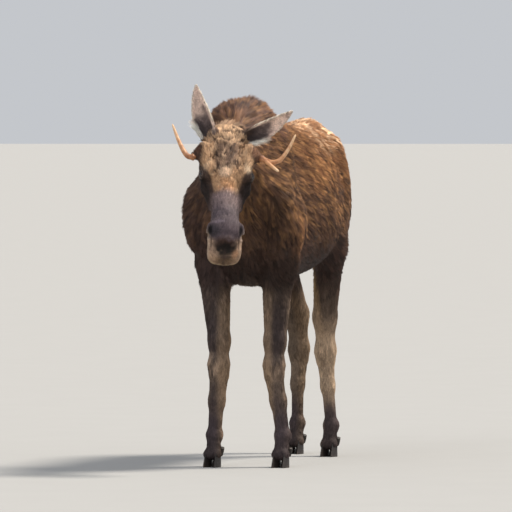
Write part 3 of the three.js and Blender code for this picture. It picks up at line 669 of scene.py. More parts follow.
def half_skin(points, quads, ahead):
    """The surface on one side of the joining plane, its largest piece only."""
    mesh = bpy.data.meshes.new("half")
    mesh.from_pydata(points.tolist(), [], quads.tolist())
    bm = bmesh.new()
    bm.from_mesh(mesh)
    facing = JOIN_NORMAL if ahead else -JOIN_NORMAL
    bmesh.ops.bisect_plane(
        bm, geom=bm.verts[:] + bm.edges[:] + bm.faces[:], dist=1e-4,
        plane_co=JOIN_AT + facing * 3, plane_no=facing, clear_inner=True,
    )
    groups, seen = [], set()
    for v in bm.verts:
        if v in seen:
            continue
        group, front = [], [v]
        seen.add(v)
        while front:
            w = front.pop()
            group.append(w)
            fresh = [o for o in (e.other_vert(w) for e in w.link_edges) if o not in seen]
            seen.update(fresh)
            front += fresh
        groups.append(group)
    groups.sort(key=len)
    for group in groups[:-1]:
        bmesh.ops.delete(bm, geom=group, context="VERTS")
    bm.to_mesh(mesh)
    bm.free()
    return mesh


def make_skin():
    """Both halves, tied together round the neck."""
    whole = bmesh.new()
    for points, quads, ahead in ((*body_surface(), False), (*head_surface(), True)):
        mesh = half_skin(points, quads, ahead)
        whole.from_mesh(mesh)
        bpy.data.meshes.remove(mesh)
    bmesh.ops.bridge_loops(whole, edges=[e for e in whole.edges if e.is_boundary])
    bmesh.ops.recalc_face_normals(whole, faces=whole.faces[:])
    mesh = bpy.data.meshes.new("skin")
    whole.to_mesh(mesh)
    whole.free()
    return mesh


# ------------------------------------------------------------------ markings, the same on skin and coat
def rgb(r, g, b):
    """A colour as seen on a screen, 0 to 255, as the linear one that shaders use."""
    c = np.array([r, g, b]) / 255
    return np.where(c <= 0.04045, c / 12.92, ((c + 0.055) / 1.055) ** 2.4)


def ball(p, centre, radii):
    """1 at the centre of an oval patch, fading to 0 at its edge."""
    q = (p - np.array(centre)) / np.array(radii)
    return step(1.0, 0.35, np.sqrt((q * q).sum(-1)))


LIE = np.array([0.0, 0.82, -0.57])        # the lie of the coat along the flank
ACROSS = np.array([0.0, 0.57, 0.82])


def ear_part(ear, h):
    """For points in the head's frame: which are on this ear, how far up it, from its rim and across it."""
    across, deep, w, t, bow, cup = ear_place(ear, *h.T)
    round_, angle = np.hypot(across, deep), np.abs(np.arctan2(across, deep))
    on = (w > 0) & (w < EAR_LENGTH + 12) & (np.abs(round_ - bow) < 16) & (angle < cup / 2 + 0.5)
    edge = np.clip(np.minimum(bow * (cup / 2 - angle), (EAR_LENGTH - 6 - w) * 0.6), 0, 99)
    return SimpleNamespace(on=on, up=t, edge=edge, hollow=round_ < bow, across=across)


class Tones:
    """Colours at points, painted over one another within a limit."""

    def __init__(self, count, *colour):
        self.colour = np.empty((count, 3))
        self.colour[:] = rgb(*colour)
        self.within = 1.0

    def paint(self, mask, *colour):
        self.colour += np.asarray(self.within * mask, float)[:, None] * (rgb(*colour) - self.colour)

    def dab(self, p, side, *spots):
        """Oval patches. Each spot is (centre, radii, strength, r, g, b), mirrored for side -1."""
        for centre, radii, much, *colour in spots:
            self.paint(ball(p, mirror(centre, side), radii) * much, *colour)


def drawn_out(p, wide, long, seed):
    """Noise drawn out along the lie of the coat, with lumps so wide and so long in mm."""
    return noise(np.stack([p[:, 0], p @ LIE * wide / long, p @ ACROSS], 1), wide, seed)


def body_tones(t, p, big, fine):
    x, y, z = p.T
    locks, strands = drawn_out(p, 25, 80, 3), drawn_out(p, 10, 56, 4)
    height = z + 40 * big + 18 * fine
    front = step(-380, -560, y)
    # warm and light along the back and hips, painted sunlight; dark below, partly painted shade
    t.paint(step(1180, 1440, height) * step(-420, -60, y), 110, 73, 47)
    t.paint(step(1460, 1580, height) * step(-100, 260, y) * 0.85, 168, 120, 84)
    t.paint(step(1240, 960, height) * 0.85, 64, 47, 43)
    t.paint(step(1060, 900, height) * step(-300, -100, y) * step(400, 200, y) * 0.6, 52, 38, 34)
    t.paint(step(520, 620, y) * step(1330, 1130, height) * 0.8, 78, 62, 60)
    t.paint(step(740, 800, y) * step(1000, 1240, z) * 0.5, 150, 118, 88)
    # shoulder, hump and neck, dark below, partly painted shade
    t.paint(front * step(1500, 1200, height) * 0.7, 104, 77, 60)
    t.paint(front * step(1180, 950, height) * 0.7, 58, 44, 41)
    t.paint(front * step(1480, 1620, height) * 0.85, 106, 78, 68)
    t.paint(ball(p, (-40, -600, 1670), (90, 150, 95)) * 0.8, 62, 46, 48)
    # sunlit locks over the hips, painted as pale highlights; golden flecks in front of them, partly painted
    # highlights; dark gaps between the locks, painted shade
    hips = step(1430, 1550, z + 30 * big) * step(-120, 380, y + 90 * big)
    t.paint(hips * step(-0.1, 0.35, drawn_out(p, 17, 110, 31) + 0.3 * strands) * 0.85, 242, 204, 168)
    t.paint(hips * step(0.0, 0.5, -locks + 0.3 * strands) * 0.6, 96, 60, 40)
    flecks = step(0.0, 0.5, locks + 0.4 * strands) * step(1000, 1250, z) * (0.36 - 0.14 * front)
    t.paint((1 - hips) * flecks, 170, 124, 82)
    t.paint((1 - hips) * step(0.1, 0.6, strands) * step(980, 1180, z) * 0.5, 172, 128, 84)
    t.paint((1 - hips) * step(0.0, 0.6, -0.7 * locks - 0.7 * strands) * 0.6, 40, 28, 26)
    # a painted golden highlight along the back of the left shoulder
    t.paint(ball(p, (215, -560, 1100), (70, 110, 150)) * 0.45, 160, 110, 66)
    t.paint(step(520, 680, y) * step(60, 150, x) * step(1480, 1400, z) * 0.35, 66, 46, 36)
    # the darkest chest, partly painted shade
    t.paint(front * step(1040, 900, height) * 0.6, 36, 27, 24)
    # painted shade, purple-grey, over the right side of the neck and shoulder
    t.paint(front * step(-30, -120, x + 30 * big) * step(1500, 1380, z) * 0.6, 74, 58, 55)
    tail = step(800, 835, y) * step(38, 26, np.abs(x)) * step(1240, 1260, z) * step(1420, 1380, z)
    t.paint(tail * 0.85, 52, 38, 32)


def leg_line(z, side, at, values):
    """How far back the middle of a leg is at heights z, from the left leg's values and the right one's."""
    left, right = (np.interp(z, at, v) for v in values)
    return np.where(side, left, right)


def leg_tones(t, p, fine):
    """Grey-brown, dark in front, light inside and at the hocks, slate above the hooves."""
    x, y, z = p.T
    fore, left = y < 0, x > 0
    middle = np.where(left, np.where(fore, 150, 100), np.where(fore, -134, -112))
    inner = step(-4, 28, -np.sign(x) * (x - middle))
    fore_line = leg_line(z, left, (60, 462, 900), ((-545, -556, -500), (-578, -572, -508)))
    hind_line = leg_line(z, left, (60, 500, 900), ((535, 550, 420), (755, 790, 540)))
    ahead = np.where(fore, fore_line, hind_line) - y
    leg = step(900, 660, z + 30 * fine)
    patch = noise(p * (1, 1, 0.6), 40, 13) + 0.6 * noise(p * (1, 1, 0.2), 11, 12)
    low = step(350, 190, z + 30 * fine)
    t.paint(leg * 0.97, 108, 92, 80)
    t.paint(leg * step(-0.2, 0.7, patch) * 0.5, 150, 128, 110)
    t.paint(leg * inner * 0.65, 184, 154, 124)
    knee = step(1.0, 0.2, np.abs(z - KNEE_Z) / 90)
    dark = lerp(0.62, 0.85, step(340, 560, z)) - 0.4 * knee
    t.paint(leg * fore * step(0, 40, ahead) * (1 - 0.5 * inner) * dark, 60, 50, 51)
    t.paint(leg * fore * knee * step(-0.3, 0.5, patch) * np.where(left, 0.4, 0.65), 190, 162, 138)
    # the right hind's hock only faintly pale: painted shade on that leg
    hock = step(690, 540, z + 30 * fine) * step(180, 340, z) * np.where(left, 1, 0.3)
    t.paint(leg * ~fore * hock * 0.8, 206, 178, 150)
    t.paint(leg * ~fore * hock * step(0.0, 0.8, patch) * 0.55, 120, 100, 84)
    groin = step(600, 760, z + 40 * fine) * step(1010, 900, z) * step(300, 360, y) * step(470, 400, y)
    t.paint(~fore * left * inner * groin * 0.7, 178, 144, 100)
    t.paint(leg * ~fore * step(620, 760, z) * (1 - inner) * step(-10, 40, ahead) * 0.5, 74, 60, 54)
    # the whole right hind leg darker: painted shade
    t.paint(leg * ~fore * ~left * 0.45, 70, 58, 46)
    t.paint(low * (0.75 - 0.25 * inner), 66, 56, 62)
    t.paint(step(150, 100, z) * 0.6, 58, 48, 46)


BROW_WIDTH = [[-350, 46], [-300, 60], [-262, 74], [-225, 99], [-190, 115], [-130, 108], [30, 104]]
BRIDGE_WIDTH = [[-560, 92], [-500, 84], [-450, 70], [-390, 64], [-340, 66], [-290, 60]]


def brow_tones(t, h, fine):
    """The forehead, the eyes' surrounds and the cheeks."""
    hx, hy, hz = h.T
    ax = np.abs(hx)
    mottle, lumpy = noise(h * (1, 0.8, 1), 17, 5), noise(h, 44, 6)
    t.paint(1, 80, 62, 53)
    across = ax - between(BROW_WIDTH, hy)[0] + 6 * lumpy
    plane = step(4, 40, hz + 6 * fine) * step(8, -8, across) * step(-352, -318, hy + 8 * lumpy)
    t.paint(plane * 0.94, 186, 147, 112)
    t.paint(plane * step(-104, -84, hy + 8 * lumpy) * 0.6, 214, 178, 144)
    t.paint(plane * ball(h, (0, -312, 66), (60, 60, 60)) * 0.7, 186, 136, 96)
    worn = step(76, 30, ax + 8 * lumpy) * step(-78, -112, hy + 10 * mottle) * step(-240, -204, hy)
    t.paint(plane * worn * 0.7, 116, 95, 84)
    t.paint(plane * worn * step(-0.1, 0.5, mottle) * 0.7, 74, 57, 51)
    # painted shade along the wavy folds of the forehead, the lines that its relief carves
    squiggle = step(0.22, 0.05, np.abs(forehead_folds(h)))
    t.paint(plane * squiggle * step(-276, -236, hy) * step(96, 70, ax) * 0.85, 58, 42, 37)
    # painted highlights: pale spots over the forehead, and a bright patch low in its middle between the eyes
    t.paint(plane * step(0.1, 0.6, -mottle) * 0.35, 226, 190, 154)
    t.paint(plane * ball(h, (-8, -242, 78), (44, 36, 40)) * 0.8, 250, 212, 178)
    # the left side faces the light: a strong painted highlight on its brow and a painted-lit brown on its
    # pedicle, a faint highlight and a painted-shade brown on the right; the dark round the eyes and down the
    # cheeks is partly painted shade
    for s, brow_highlight, pedicle in ((1, 0.85, (122, 84, 60)), (-1, 0.2, (84, 56, 42))):
        t.dab(
            h, s,
            ((106, -258, 18), (38, 66, 48), 1, 30, 23, 21),
            ((96, -330, -4), (50, 130, 74), 0.95, 40, 31, 28),
            ((92, -222, 56), (24, 32, 28), brow_highlight, 226, 198, 166),
            ((140, -136, 56), (52, 54, 50), 1, *pedicle),
            ((128, -124, 30), (40, 50, 30), 0.8, 44, 32, 27),
            ((102, -104, 74), (30, 16, 24), 0.6, 196, 160, 128),
            ((80, -36, 58), (34, 30, 40), 0.6, 90, 72, 62),
        )


def lid_tones(t, h):
    for eye in EYES:
        a, b, c = eye_place(eye, *h.T)
        near = step(31, 25, np.sqrt(a * a + b * b + c * c)) * step(0, 6, c)
        t.paint(near * step(6, 2, np.abs(lid_edge(a, b) - 2)) * 0.6, 122, 106, 98)


def nose_tones(t, h):
    """The bridge, the nose and the lips."""
    hx, hy, hz = h.T
    ax = np.abs(hx)
    lumpy, patch, streak = noise(h, 44, 6), noise(h, 15, 9), noise(h * (1, 0.3, 1), 9, 14)
    width = between(BRIDGE_WIDTH, hy)[0]
    across = step(width + 14, width - 12, ax + 7 * lumpy)
    bridge = step(-286, -352, hy + 0.42 * ax + 12 * lumpy) * across * step(-16, 20, hz)
    t.paint(bridge * 0.95, 144, 124, 122)
    t.paint(bridge * step(-368, -430, hy + 8 * lumpy) * 0.9, 92, 81, 86)
    t.paint(bridge * step(30, 62, ax + 8 * patch) * 0.5, 80, 68, 70)
    t.paint(bridge * step(0.0, 0.6, streak) * 0.35, 76, 65, 70)
    t.paint(step(-10, -40, hz) * step(-240, -300, hy) * 0.6, 56, 45, 42)
    # tan lips, a slate nose between the nostrils, a dark core under it
    muzzle = step(-470, -530, hy)
    t.paint(muzzle * step(6, -26, hz) * 0.9, 188, 160, 134)
    t.paint(step(-546, -576, hy) * step(46, 16, hz) * 0.85, 176, 146, 122)
    t.paint(muzzle * step(60, 78, ax) * step(52, 30, hz) * np.where(hx < 0, 0.8, 0.35), 186, 162, 140)
    # slate below the crest of the nose's roll, partly painted shade where it turns down from the light
    roll = step(-478, -524, hy + 9 * patch + 0.1 * hx) * step(-596, -540, hy)
    t.paint(roll * step(80, 56, ax + 8 * patch) * step(8, 34, hz) * 0.9, 86, 73, 77)
    # painted shade round the right nostril, and a painted highlight along the right of the roll's upper edge
    t.dab(
        h, 1,
        ((-50, -534, 46), (52, 44, 40), 0.75, 48, 44, 48),
        ((-34, -496, 66), (44, 14, 26), 0.6, 128, 114, 122),
    )
    t.dab(
        h + 11 * patch[:, None], 1,
        ((2, -594, 28), (76, 58, 58), 1, 66, 46, 38),
        ((4, -606, 16), (68, 50, 52), 0.96, 20, 14, 11),
        ((3, -638, -38), (60, 46, 58), 0.9, 58, 45, 34),
        ((2, -640, -16), (38, 28, 20), 0.8, 40, 28, 28),
    )
    t.paint(step(-54, -72, hz + 6 * patch) * step(-590, -625, hy) * 0.6, 190, 172, 134)
    t.paint(ball(h, (46, -616, -14), (26, 30, 30)) * 0.4, 200, 142, 100)
    t.paint(step(-600, -640, hy) * step(0, -26, hz) * 0.3, 160, 128, 98)
    # painted shade in the crease down the middle of the lip
    t.paint(step(9, 3, ax) * step(-602, -622, hy) * 0.35, 52, 36, 34)
    t.paint(step(0.1, 0.7, streak) * muzzle * step(10, -10, hz) * 0.35, 96, 74, 64)
    t.paint(step(-62, -110, hz + 10 * lumpy) * step(-440, -560, hy) * 0.7, 128, 108, 88)
    t.paint(step(2.5, 0.5, np.abs(hz - mouth_line(hy)) / 3) * step(-468, -480, hy), 34, 26, 24)
    # painted shade in the nostrils, their slits, the groove above each and the crease beside the lip, a
    # little less above the lit left nostril
    for s, above in ((1, 0.85), (-1, 1)):
        t.dab(
            h, s,
            ((70, -530, 12), (26, 32, 20), 1, 24, 19, 18),
            ((74, -508, 28), (12, 28, 14), 0.8, 34, 28, 28),
            ((69, -534, 46), (14, 36, 26), above, 22, 18, 20),
            ((62, -580, 22), (5, 44, 40), 0.7, 60, 44, 38),
        )


def ear_tones(t, h):
    """Pale inside with a dark middle, brown behind, the rim whitish."""
    for ear in EARS:
        e = ear_part(ear, h)
        streak = noise(np.stack([e.across, e.up * 40, 0 * e.up], 1), 7, 15)
        high = e.up + 0.2 * noise(h, 26, 8)
        lower = e.across * ear["side"] > 0
        inside = e.on & e.hollow
        t.colour[inside] = rgb(236, 206, 188)
        t.paint(inside * step(0.0, 0.7, streak) * 0.4, 164, 134, 124)
        t.paint(inside * step(0.76, 0.36, high) * step(5, 20, e.edge) * 0.9, 74, 63, 66)
        t.paint(inside * step(0.35, 0.1, e.up) * step(6, 22, e.edge) * 0.7, 50, 42, 42)
        t.paint(e.on * ~lower * step(0.22, 0.06, e.up) * 0.9, 84, 66, 58)
        t.colour[e.on & ~e.hollow] = rgb(112, 88, 74)
        t.paint(e.on * step(6, 2.5, e.edge) * step(0.02, 0.2, e.up - 0.14 * ~lower) * 0.9, 232, 216, 196)
        # the whitish tuft near the base of each ear's lower rim, brightened to near white with painted light
        t.paint(e.on * step(0.3, 0.14, e.up) * step(24, 10, e.edge) * lower, 255, 246, 232)


def markings(p):
    """The coat's colour at points in the source's frame."""
    h = to_head(p)
    big, fine = noise(p, 130, 1), noise(p, 34, 2)
    t = Tones(len(p), 92, 66, 50)
    body_tones(t, p, big, fine)
    leg_tones(t, p, fine)
    t.within = head_mask(h)
    brow_tones(t, h, fine)
    lid_tones(t, h)
    nose_tones(t, h)
    t.within = 1.0
    ear_tones(t, h)
    return np.clip(t.colour * (1 + 0.10 * fine + 0.08 * big)[:, None], 0.002, 0.95)


# ------------------------------------------------------------------ looks and meshes
class Look:
    """A material, built node by node. Most functions give back what the new node puts out."""

    def __init__(self, name, **constant):
        self.material = bpy.data.materials.new(name)
        self.material.use_nodes = True
        self.tree = self.material.node_tree
        self.shader = self.tree.nodes["Principled BSDF"]
        for key, value in constant.items():
            self.shader.inputs[key.replace("_", " ")].default_value = value

    def node(self, kind, inputs, output=0, **settings):
        n = self.tree.nodes.new("ShaderNode" + kind)
        for key, value in settings.items():
            setattr(n, key, value)
        for key, value in inputs.items():
            if isinstance(value, bpy.types.NodeSocket):
                self.tree.links.new(value, n.inputs[key])
            else:
                n.inputs[key].default_value = value
        return n.outputs[output]

    def give(self, **values):
        """Lead values to the shader."""
        for key, value in values.items():
            self.tree.links.new(value, self.shader.inputs[key.replace("_", " ")])

    def attribute(self, name, output="Fac"):
        return self.node("Attribute", {}, output, attribute_name=name)

    def times(self, a, b):
        return self.node("Math", {0: a, 1: b}, operation="MULTIPLY")

    def plus(self, a, b):
        return self.node("Math", {0: a, 1: b}, operation="ADD")

    def scaled(self, colour, amount):
        """A colour times a number."""
        return self.node("VectorMath", {0: colour, "Scale": amount}, operation="SCALE")

    def noised(self, scale, detail, rough, at=None):
        at = at or self.node("TexCoord", {}, "Object")
        inputs = {"Scale": scale, "Detail": detail, "Roughness": rough, "Vector": at}
        return self.node("TexNoise", inputs, "Fac")

    def ranged(self, value, low, high, to_low=0.0, to_high=1.0):
        ends = {"From Min": low, "From Max": high, "To Min": to_low, "To Max": to_high}
        return self.node("MapRange", {"Value": value, **ends}, "Result")

    def tinted(self, fac, *stops):
        """Colours along a number from 0 to 1. Each stop is (place, r, g, b)."""
        tone = self.node("ValToRGB", {"Fac": fac}, "Color")
        steps = tone.node.color_ramp.elements
        steps.remove(steps[1])
        for n, (place, *colour) in enumerate(stops):
            stop = steps.new(place) if n else steps[0]
            stop.position = place
            stop.color = (*rgb(*colour), 1)
        return tone

    def bump(self, height, distance, strength):
        self.give(Normal=self.node("Bump", {"Height": height, "Distance": distance, "Strength": strength}))


def add_values(mesh, name, values, kind="FLOAT"):
    """Values at the points of a mesh: FLOAT, FLOAT_VECTOR or FLOAT_COLOR."""
    layer = mesh.attributes.new(name, kind, "POINT")
    if kind == "FLOAT_COLOR":
        values = np.concatenate([values, np.ones((len(values), 1))], 1)
    key = {"FLOAT": "value", "FLOAT_VECTOR": "vector", "FLOAT_COLOR": "color"}[kind]
    layer.data.foreach_set(key, np.ascontiguousarray(values, np.float32).ravel())


def read_points(items, key):
    values = np.empty(len(items) * 3, np.float32)
    items.foreach_get(key, values)
    return values.reshape(-1, 3).astype(float)


def put(name, mesh, look, slot):
    """A piece of the model, with smooth shading and its look. The slot is not used."""
    obj = bpy.data.objects.new(name, mesh)
    bpy.context.scene.collection.objects.link(obj)
    mesh.materials.append(look.material)
    mesh.polygons.foreach_set("use_smooth", [True] * len(mesh.polygons))
    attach(obj, "root")
    return obj


def skin_look():
    look = Look("skin_with_short_hair", Roughness=0.72, Specular_IOR_Level=0.2)
    tone, grain = look.attribute("tone", "Color"), look.attribute("grain", "Vector")
    hair, patch = look.noised(1.0, 3, 0.65, grain), look.noised(22, 4, 0.6)
    shade = look.times(look.ranged(hair, 0.3, 0.7, 0.55, 1.3), look.ranged(patch, 0.25, 0.75, 0.82, 1.16))
    rough = look.ranged(look.attribute("bare"), 0, 1, 0.78, 0.42)
    look.give(Base_Color=look.scaled(tone, shade), Roughness=rough)
    pores = look.noised(620, 2, 0.5)
    look.bump(look.plus(hair, look.times(pores, 0.3)), 0.0022, 0.75)
    return look


HAIR_WIDTH = 3.2      # of the grain painted on the skin, in mm


def grain_of(p, along=0.12):
    """Coordinates drawn out along the lie of the short hair, about 1 to a hair's width."""
    h = to_head(p)
    head = head_mask(h)[:, None]
    leg = step(960, 760, p[:, 2])[:, None]
    body = np.stack([p[:, 0], p @ LIE * along, p @ ACROSS], 1)
    legs = p * np.array([1, 1, along])
    face_ = h * np.array([1, along, 1])
    out = body + (legs - body) * (leg > 0.5)
    return (out + (face_ - out) * (head > 0.5)) / HAIR_WIDTH


def bare_of(h):
    """1 where the skin has no hair, for points in the head's frame: the nose, the nostrils and the lids."""
    bare = step(-585, -625, h[:, 1]) * step(30, 8, np.abs(h[:, 2] - 4)) * step(52, 26, np.abs(h[:, 0]))
    for eye in EYES:
        a, b, c = eye_place(eye, *h.T)
        bare = np.maximum(bare, step(28, 24, np.sqrt(a * a + b * b + c * c)))
        bare = np.maximum(bare, ball(h, (eye["side"] * 76, -528, 18), (24, 44, 26)))
    return bare


skin_mesh = make_skin()
skin_points = read_points(skin_mesh.vertices, "co")
add_values(skin_mesh, "tone", markings(skin_points), "FLOAT_COLOR")
add_values(skin_mesh, "grain", grain_of(skin_points), "FLOAT_VECTOR")
add_values(skin_mesh, "bare", bare_of(to_head(skin_points)))
skin_mesh.vertices.foreach_set("co", to_scene(skin_points).astype(np.float32).ravel())
skin_mesh.update()
skin = put("skin", skin_mesh, skin_look(), "body_coat")
FLESH = ("trunk", "tail", "neck", "bell", "head", "ear_left", "ear_right", "foreleg", "hindleg")
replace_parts(skin, *[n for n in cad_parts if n.startswith(FLESH)])


# ------------------------------------------------------------------ the coat
skin_mesh.calc_loop_triangles()
tri = np.empty(len(skin_mesh.loop_triangles) * 3, np.int32)
skin_mesh.loop_triangles.foreach_get("vertices", tri)
tri = tri.reshape(-1, 3)
normals = read_points(skin_mesh.vertices, "normal")
corners = skin_points[tri]
tri_middle = corners.mean(1)
tri_cross = np.cross(corners[:, 1] - corners[:, 0], corners[:, 2] - corners[:, 0])
tri_area = np.linalg.norm(tri_cross, axis=1) / 2


def unit_rows(v):
    return v / np.maximum(np.linalg.norm(v, axis=1, keepdims=True), 1e-9)


def on_bell(h):
    return BELL[0](*h.T) < 10


def on_tail(p):
    return (p[:, 1] > 838) & (p[:, 2] > 1180)


NECK_BACK, SHOULDER_BACK, RUMP_FRONT, LEG_TOP, WITHERS_LOW = -720, -330, 360, 860, 1400


def part_of(p):
    """Which stretch of coat each point belongs to."""
    x, y, z = p.T
    h = to_head(p)
    on_head = head_mask(h) > 0.5
    for ear in EARS:
        on_head |= ear_part(ear, h).on
    part = np.full(len(p), "barrel_right", dtype="U16")
    part[x > 0] = "barrel_left"
    part[y > RUMP_FRONT] = "rump"
    part[(y < SHOULDER_BACK) & (x > 0)] = "shoulder_left"
    part[(y < SHOULDER_BACK) & (x <= 0)] = "shoulder_right"
    part[(y < SHOULDER_BACK) & (z > WITHERS_LOW)] = "withers"
    part[y < NECK_BACK] = "neck"
    part[(z < LEG_TOP) & (y < 0)] = "forelegs"
    part[(z < LEG_TOP) & (y > 0)] = "hindlegs"
    part[on_head] = "head"
    return part


def lie_of(p, n):
    """The lie of the coat: back and down on the body, down the legs, up the face from the nose."""
    x, y, z = p.T
    h = to_head(p)
    side = np.tanh(x / 60)
    out = np.zeros((len(p), 3))
    out[:] = (0, 0.86, -0.5)

    def turn_to(much, *way):
        out[:] += much[:, None] * (np.stack([w + 0 * x for w in way], 1) - out)

    turn_to(step(1480, 1600, z) * step(120, 40, np.abs(x)), 0.25 * side, 1, -0.1)
    turn_to(step(-480, -640, y) * step(1420, 1300, z), 0.22 * side, 0.42, -0.9)
    turn_to(step(-700, -800, y), 0.12 * side, 0.7, -0.7)
    turn_to(step(560, 780, y), 0.1 * side, 0.22, -1)
    turn_to(step(-0.3, -0.8, n[:, 2]) * step(1150, 1000, z) * step(540, 420, y), 0, 1, -0.1)
    turn_to(step(900, 740, z), 0, 0.14, -1)
    turn_to((on_bell(h) | on_tail(p)) * 1.0, 0, 0.1, -1)
    on_head = head_mask(h) > 0.5
    face_ = np.stack([h[:, 0] * 0.004, 0 * x + 1, -0.004 * np.abs(h[:, 0])], 1)
    front = step(-585, -625, h[:, 1])[:, None]
    face_ = face_ + front * (np.stack([h[:, 0] / 60, 0 * x + 0.3, h[:, 2] / 60], 1) - face_)
    out += on_head[:, None] * (face_ @ HEAD_TURN.T - out)
    for ear in EARS:
        e = ear_part(ear, h)
        outward = np.sign(e.across)[:, None] * ear["axes"][0] * np.where(e.hollow, 0.7, 0.3)[:, None]
        out[e.on] = ((ear["axes"][2] + outward) @ HEAD_TURN.T)[e.on]
    swirl = np.stack([noise(p, 90, 21 + a) + 0.5 * noise(p, 38, 24 + a) for a in range(3)], 1)
    out += 0.2 * swirl * np.where(on_head, 0.5, 1)[:, None]
    out -= n * (out * n).sum(1, keepdims=True)
    return unit_rows(out)


def size_of(p):
    """Each tuft's length, half width and height over the skin, in mm."""
    x, y, z = p.T
    h = to_head(p)
    deep = coat_depth(x, y, z)
    hump = np.exp(-(((x + 14) / 150) ** 2 + ((y + 500) / 220) ** 2 + ((z - 1680) / 110) ** 2))
    length = 56 + 26 * hump + 4 * step(-640, -760, y)
    length = length + 8 * step(60, 200, y) * step(1380, 1560, z)
    leg = step(1020, 680, z)
    length = lerp(length, 22, leg)
    length = lerp(length, 12, step(560, 200, z))
    width = lerp(2.1, 1.5, leg)
    rise = np.maximum(deep - 2, 3) * (0.8 + 0.35 * hump) * lerp(0.55, 1, step(850, 1080, z))
    length = np.where(on_bell(h), 74, np.where(on_tail(p), 52, length))
    rise = np.where(on_bell(h), 10, rise)
    on_head = (head_mask(h) > 0.5) & ~on_bell(h)
    forehead = step(-300, -200, h[:, 1])
    muzzle = step(-420, -540, h[:, 1])
    throat = step(-60, -120, h[:, 2]) * step(-420, -300, h[:, 1])
    length = np.where(on_head, lerp(lerp(9, 15, forehead), 5, muzzle) + 12 * throat, length)
    width = np.where(on_head, lerp(1.2, 0.75, muzzle), width)
    rise = np.where(on_head, lerp(lerp(2.2, 3.2, forehead), 0.9, muzzle) + 2 * throat, rise)
    for ear in EARS:
        e = ear_part(ear, h)
        rim = step(9, 2, e.edge)
        base = step(0.4, 0.2, e.up) * e.hollow * (e.across * ear["side"] > 8)
        length = np.where(e.on, 8 + 3 * rim + 36 * base, length)
        width = np.where(e.on, 0.9, width)
        rise = np.where(e.on, 1.6 + 1.2 * rim + 9 * base, rise)
    return length, width, rise


def mesh_of(name, points, faces):
    mesh = bpy.data.meshes.new(name)
    mesh.vertices.add(len(points))
    mesh.vertices.foreach_set("co", np.ascontiguousarray(points, np.float32).ravel())
    mesh.loops.add(faces.size)
    mesh.loops.foreach_set("vertex_index", faces.ravel().astype(np.int32))
    mesh.polygons.add(len(faces))
    mesh.polygons.foreach_set("loop_start", np.arange(0, faces.size, faces.shape[1], dtype=np.int32))
    mesh.update(calc_edges=True)
    return mesh


def turn_part(across, ahead):
    """A bearing as a part of a turn, 0.5 straight ahead."""
    return np.arctan2(across, ahead) / (2 * math.pi) + 0.5


def unwrap(name, p):
    """A root's place on an unwrap of this stretch of skin, from 0 to 1."""
    x, y, z = p.T
    if name == "head":
        h = to_head(p)
        uv = np.stack([turn_part(h[:, 0], h[:, 2] + 25) * 0.7, (h[:, 1] + 660) / 720], 1)
        for n, ear in enumerate(EARS):
            e = ear_part(ear, h)
            place = 0.72 + 0.13 * n + 0.12 * np.clip(e.across / 100 + 0.5, 0, 1)
            uv[e.on] = np.stack([place, np.where(e.hollow, 0.02, 0.52) + 0.45 * e.up], 1)[e.on]
        return uv
    if name in ("forelegs", "hindlegs"):
        uv = np.zeros((len(p), 2))
        fore = name == "forelegs"
        for n, leg in enumerate(FORELEGS if fore else HINDLEGS):
            across, back = leg["knee" if fore else "hock"]
            height, upper = (KNEE_Z, back) if fore else (HOCK_Z, leg["stifle"][1] + 60)
            mine = (x > 0) == (leg["side"] > 0)
            line = np.interp(z, [60, height, 900], [leg["foot"][1], back, upper])
            uv[mine] = np.stack([0.01 + 0.48 * (n + turn_part(x - across, y - line)), z / 900], 1)[mine]
        return uv
    uv = np.stack([turn_part(x, z - (1380 if name == "neck" else 1250)), y], 1)
    return (uv - uv.min(0)) / np.ptp(uv, axis=0)


SIDES = np.array([(0, 1, 3), (1, 2, 3), (2, 0, 3), (0, 2, 1)])     # of a tuft, root points 0 to 2, tip 3
PATCH = np.array([[0, 0], [1, 0], [0.5, 0.4], [0.5, 1]])           # their places on the unwrap


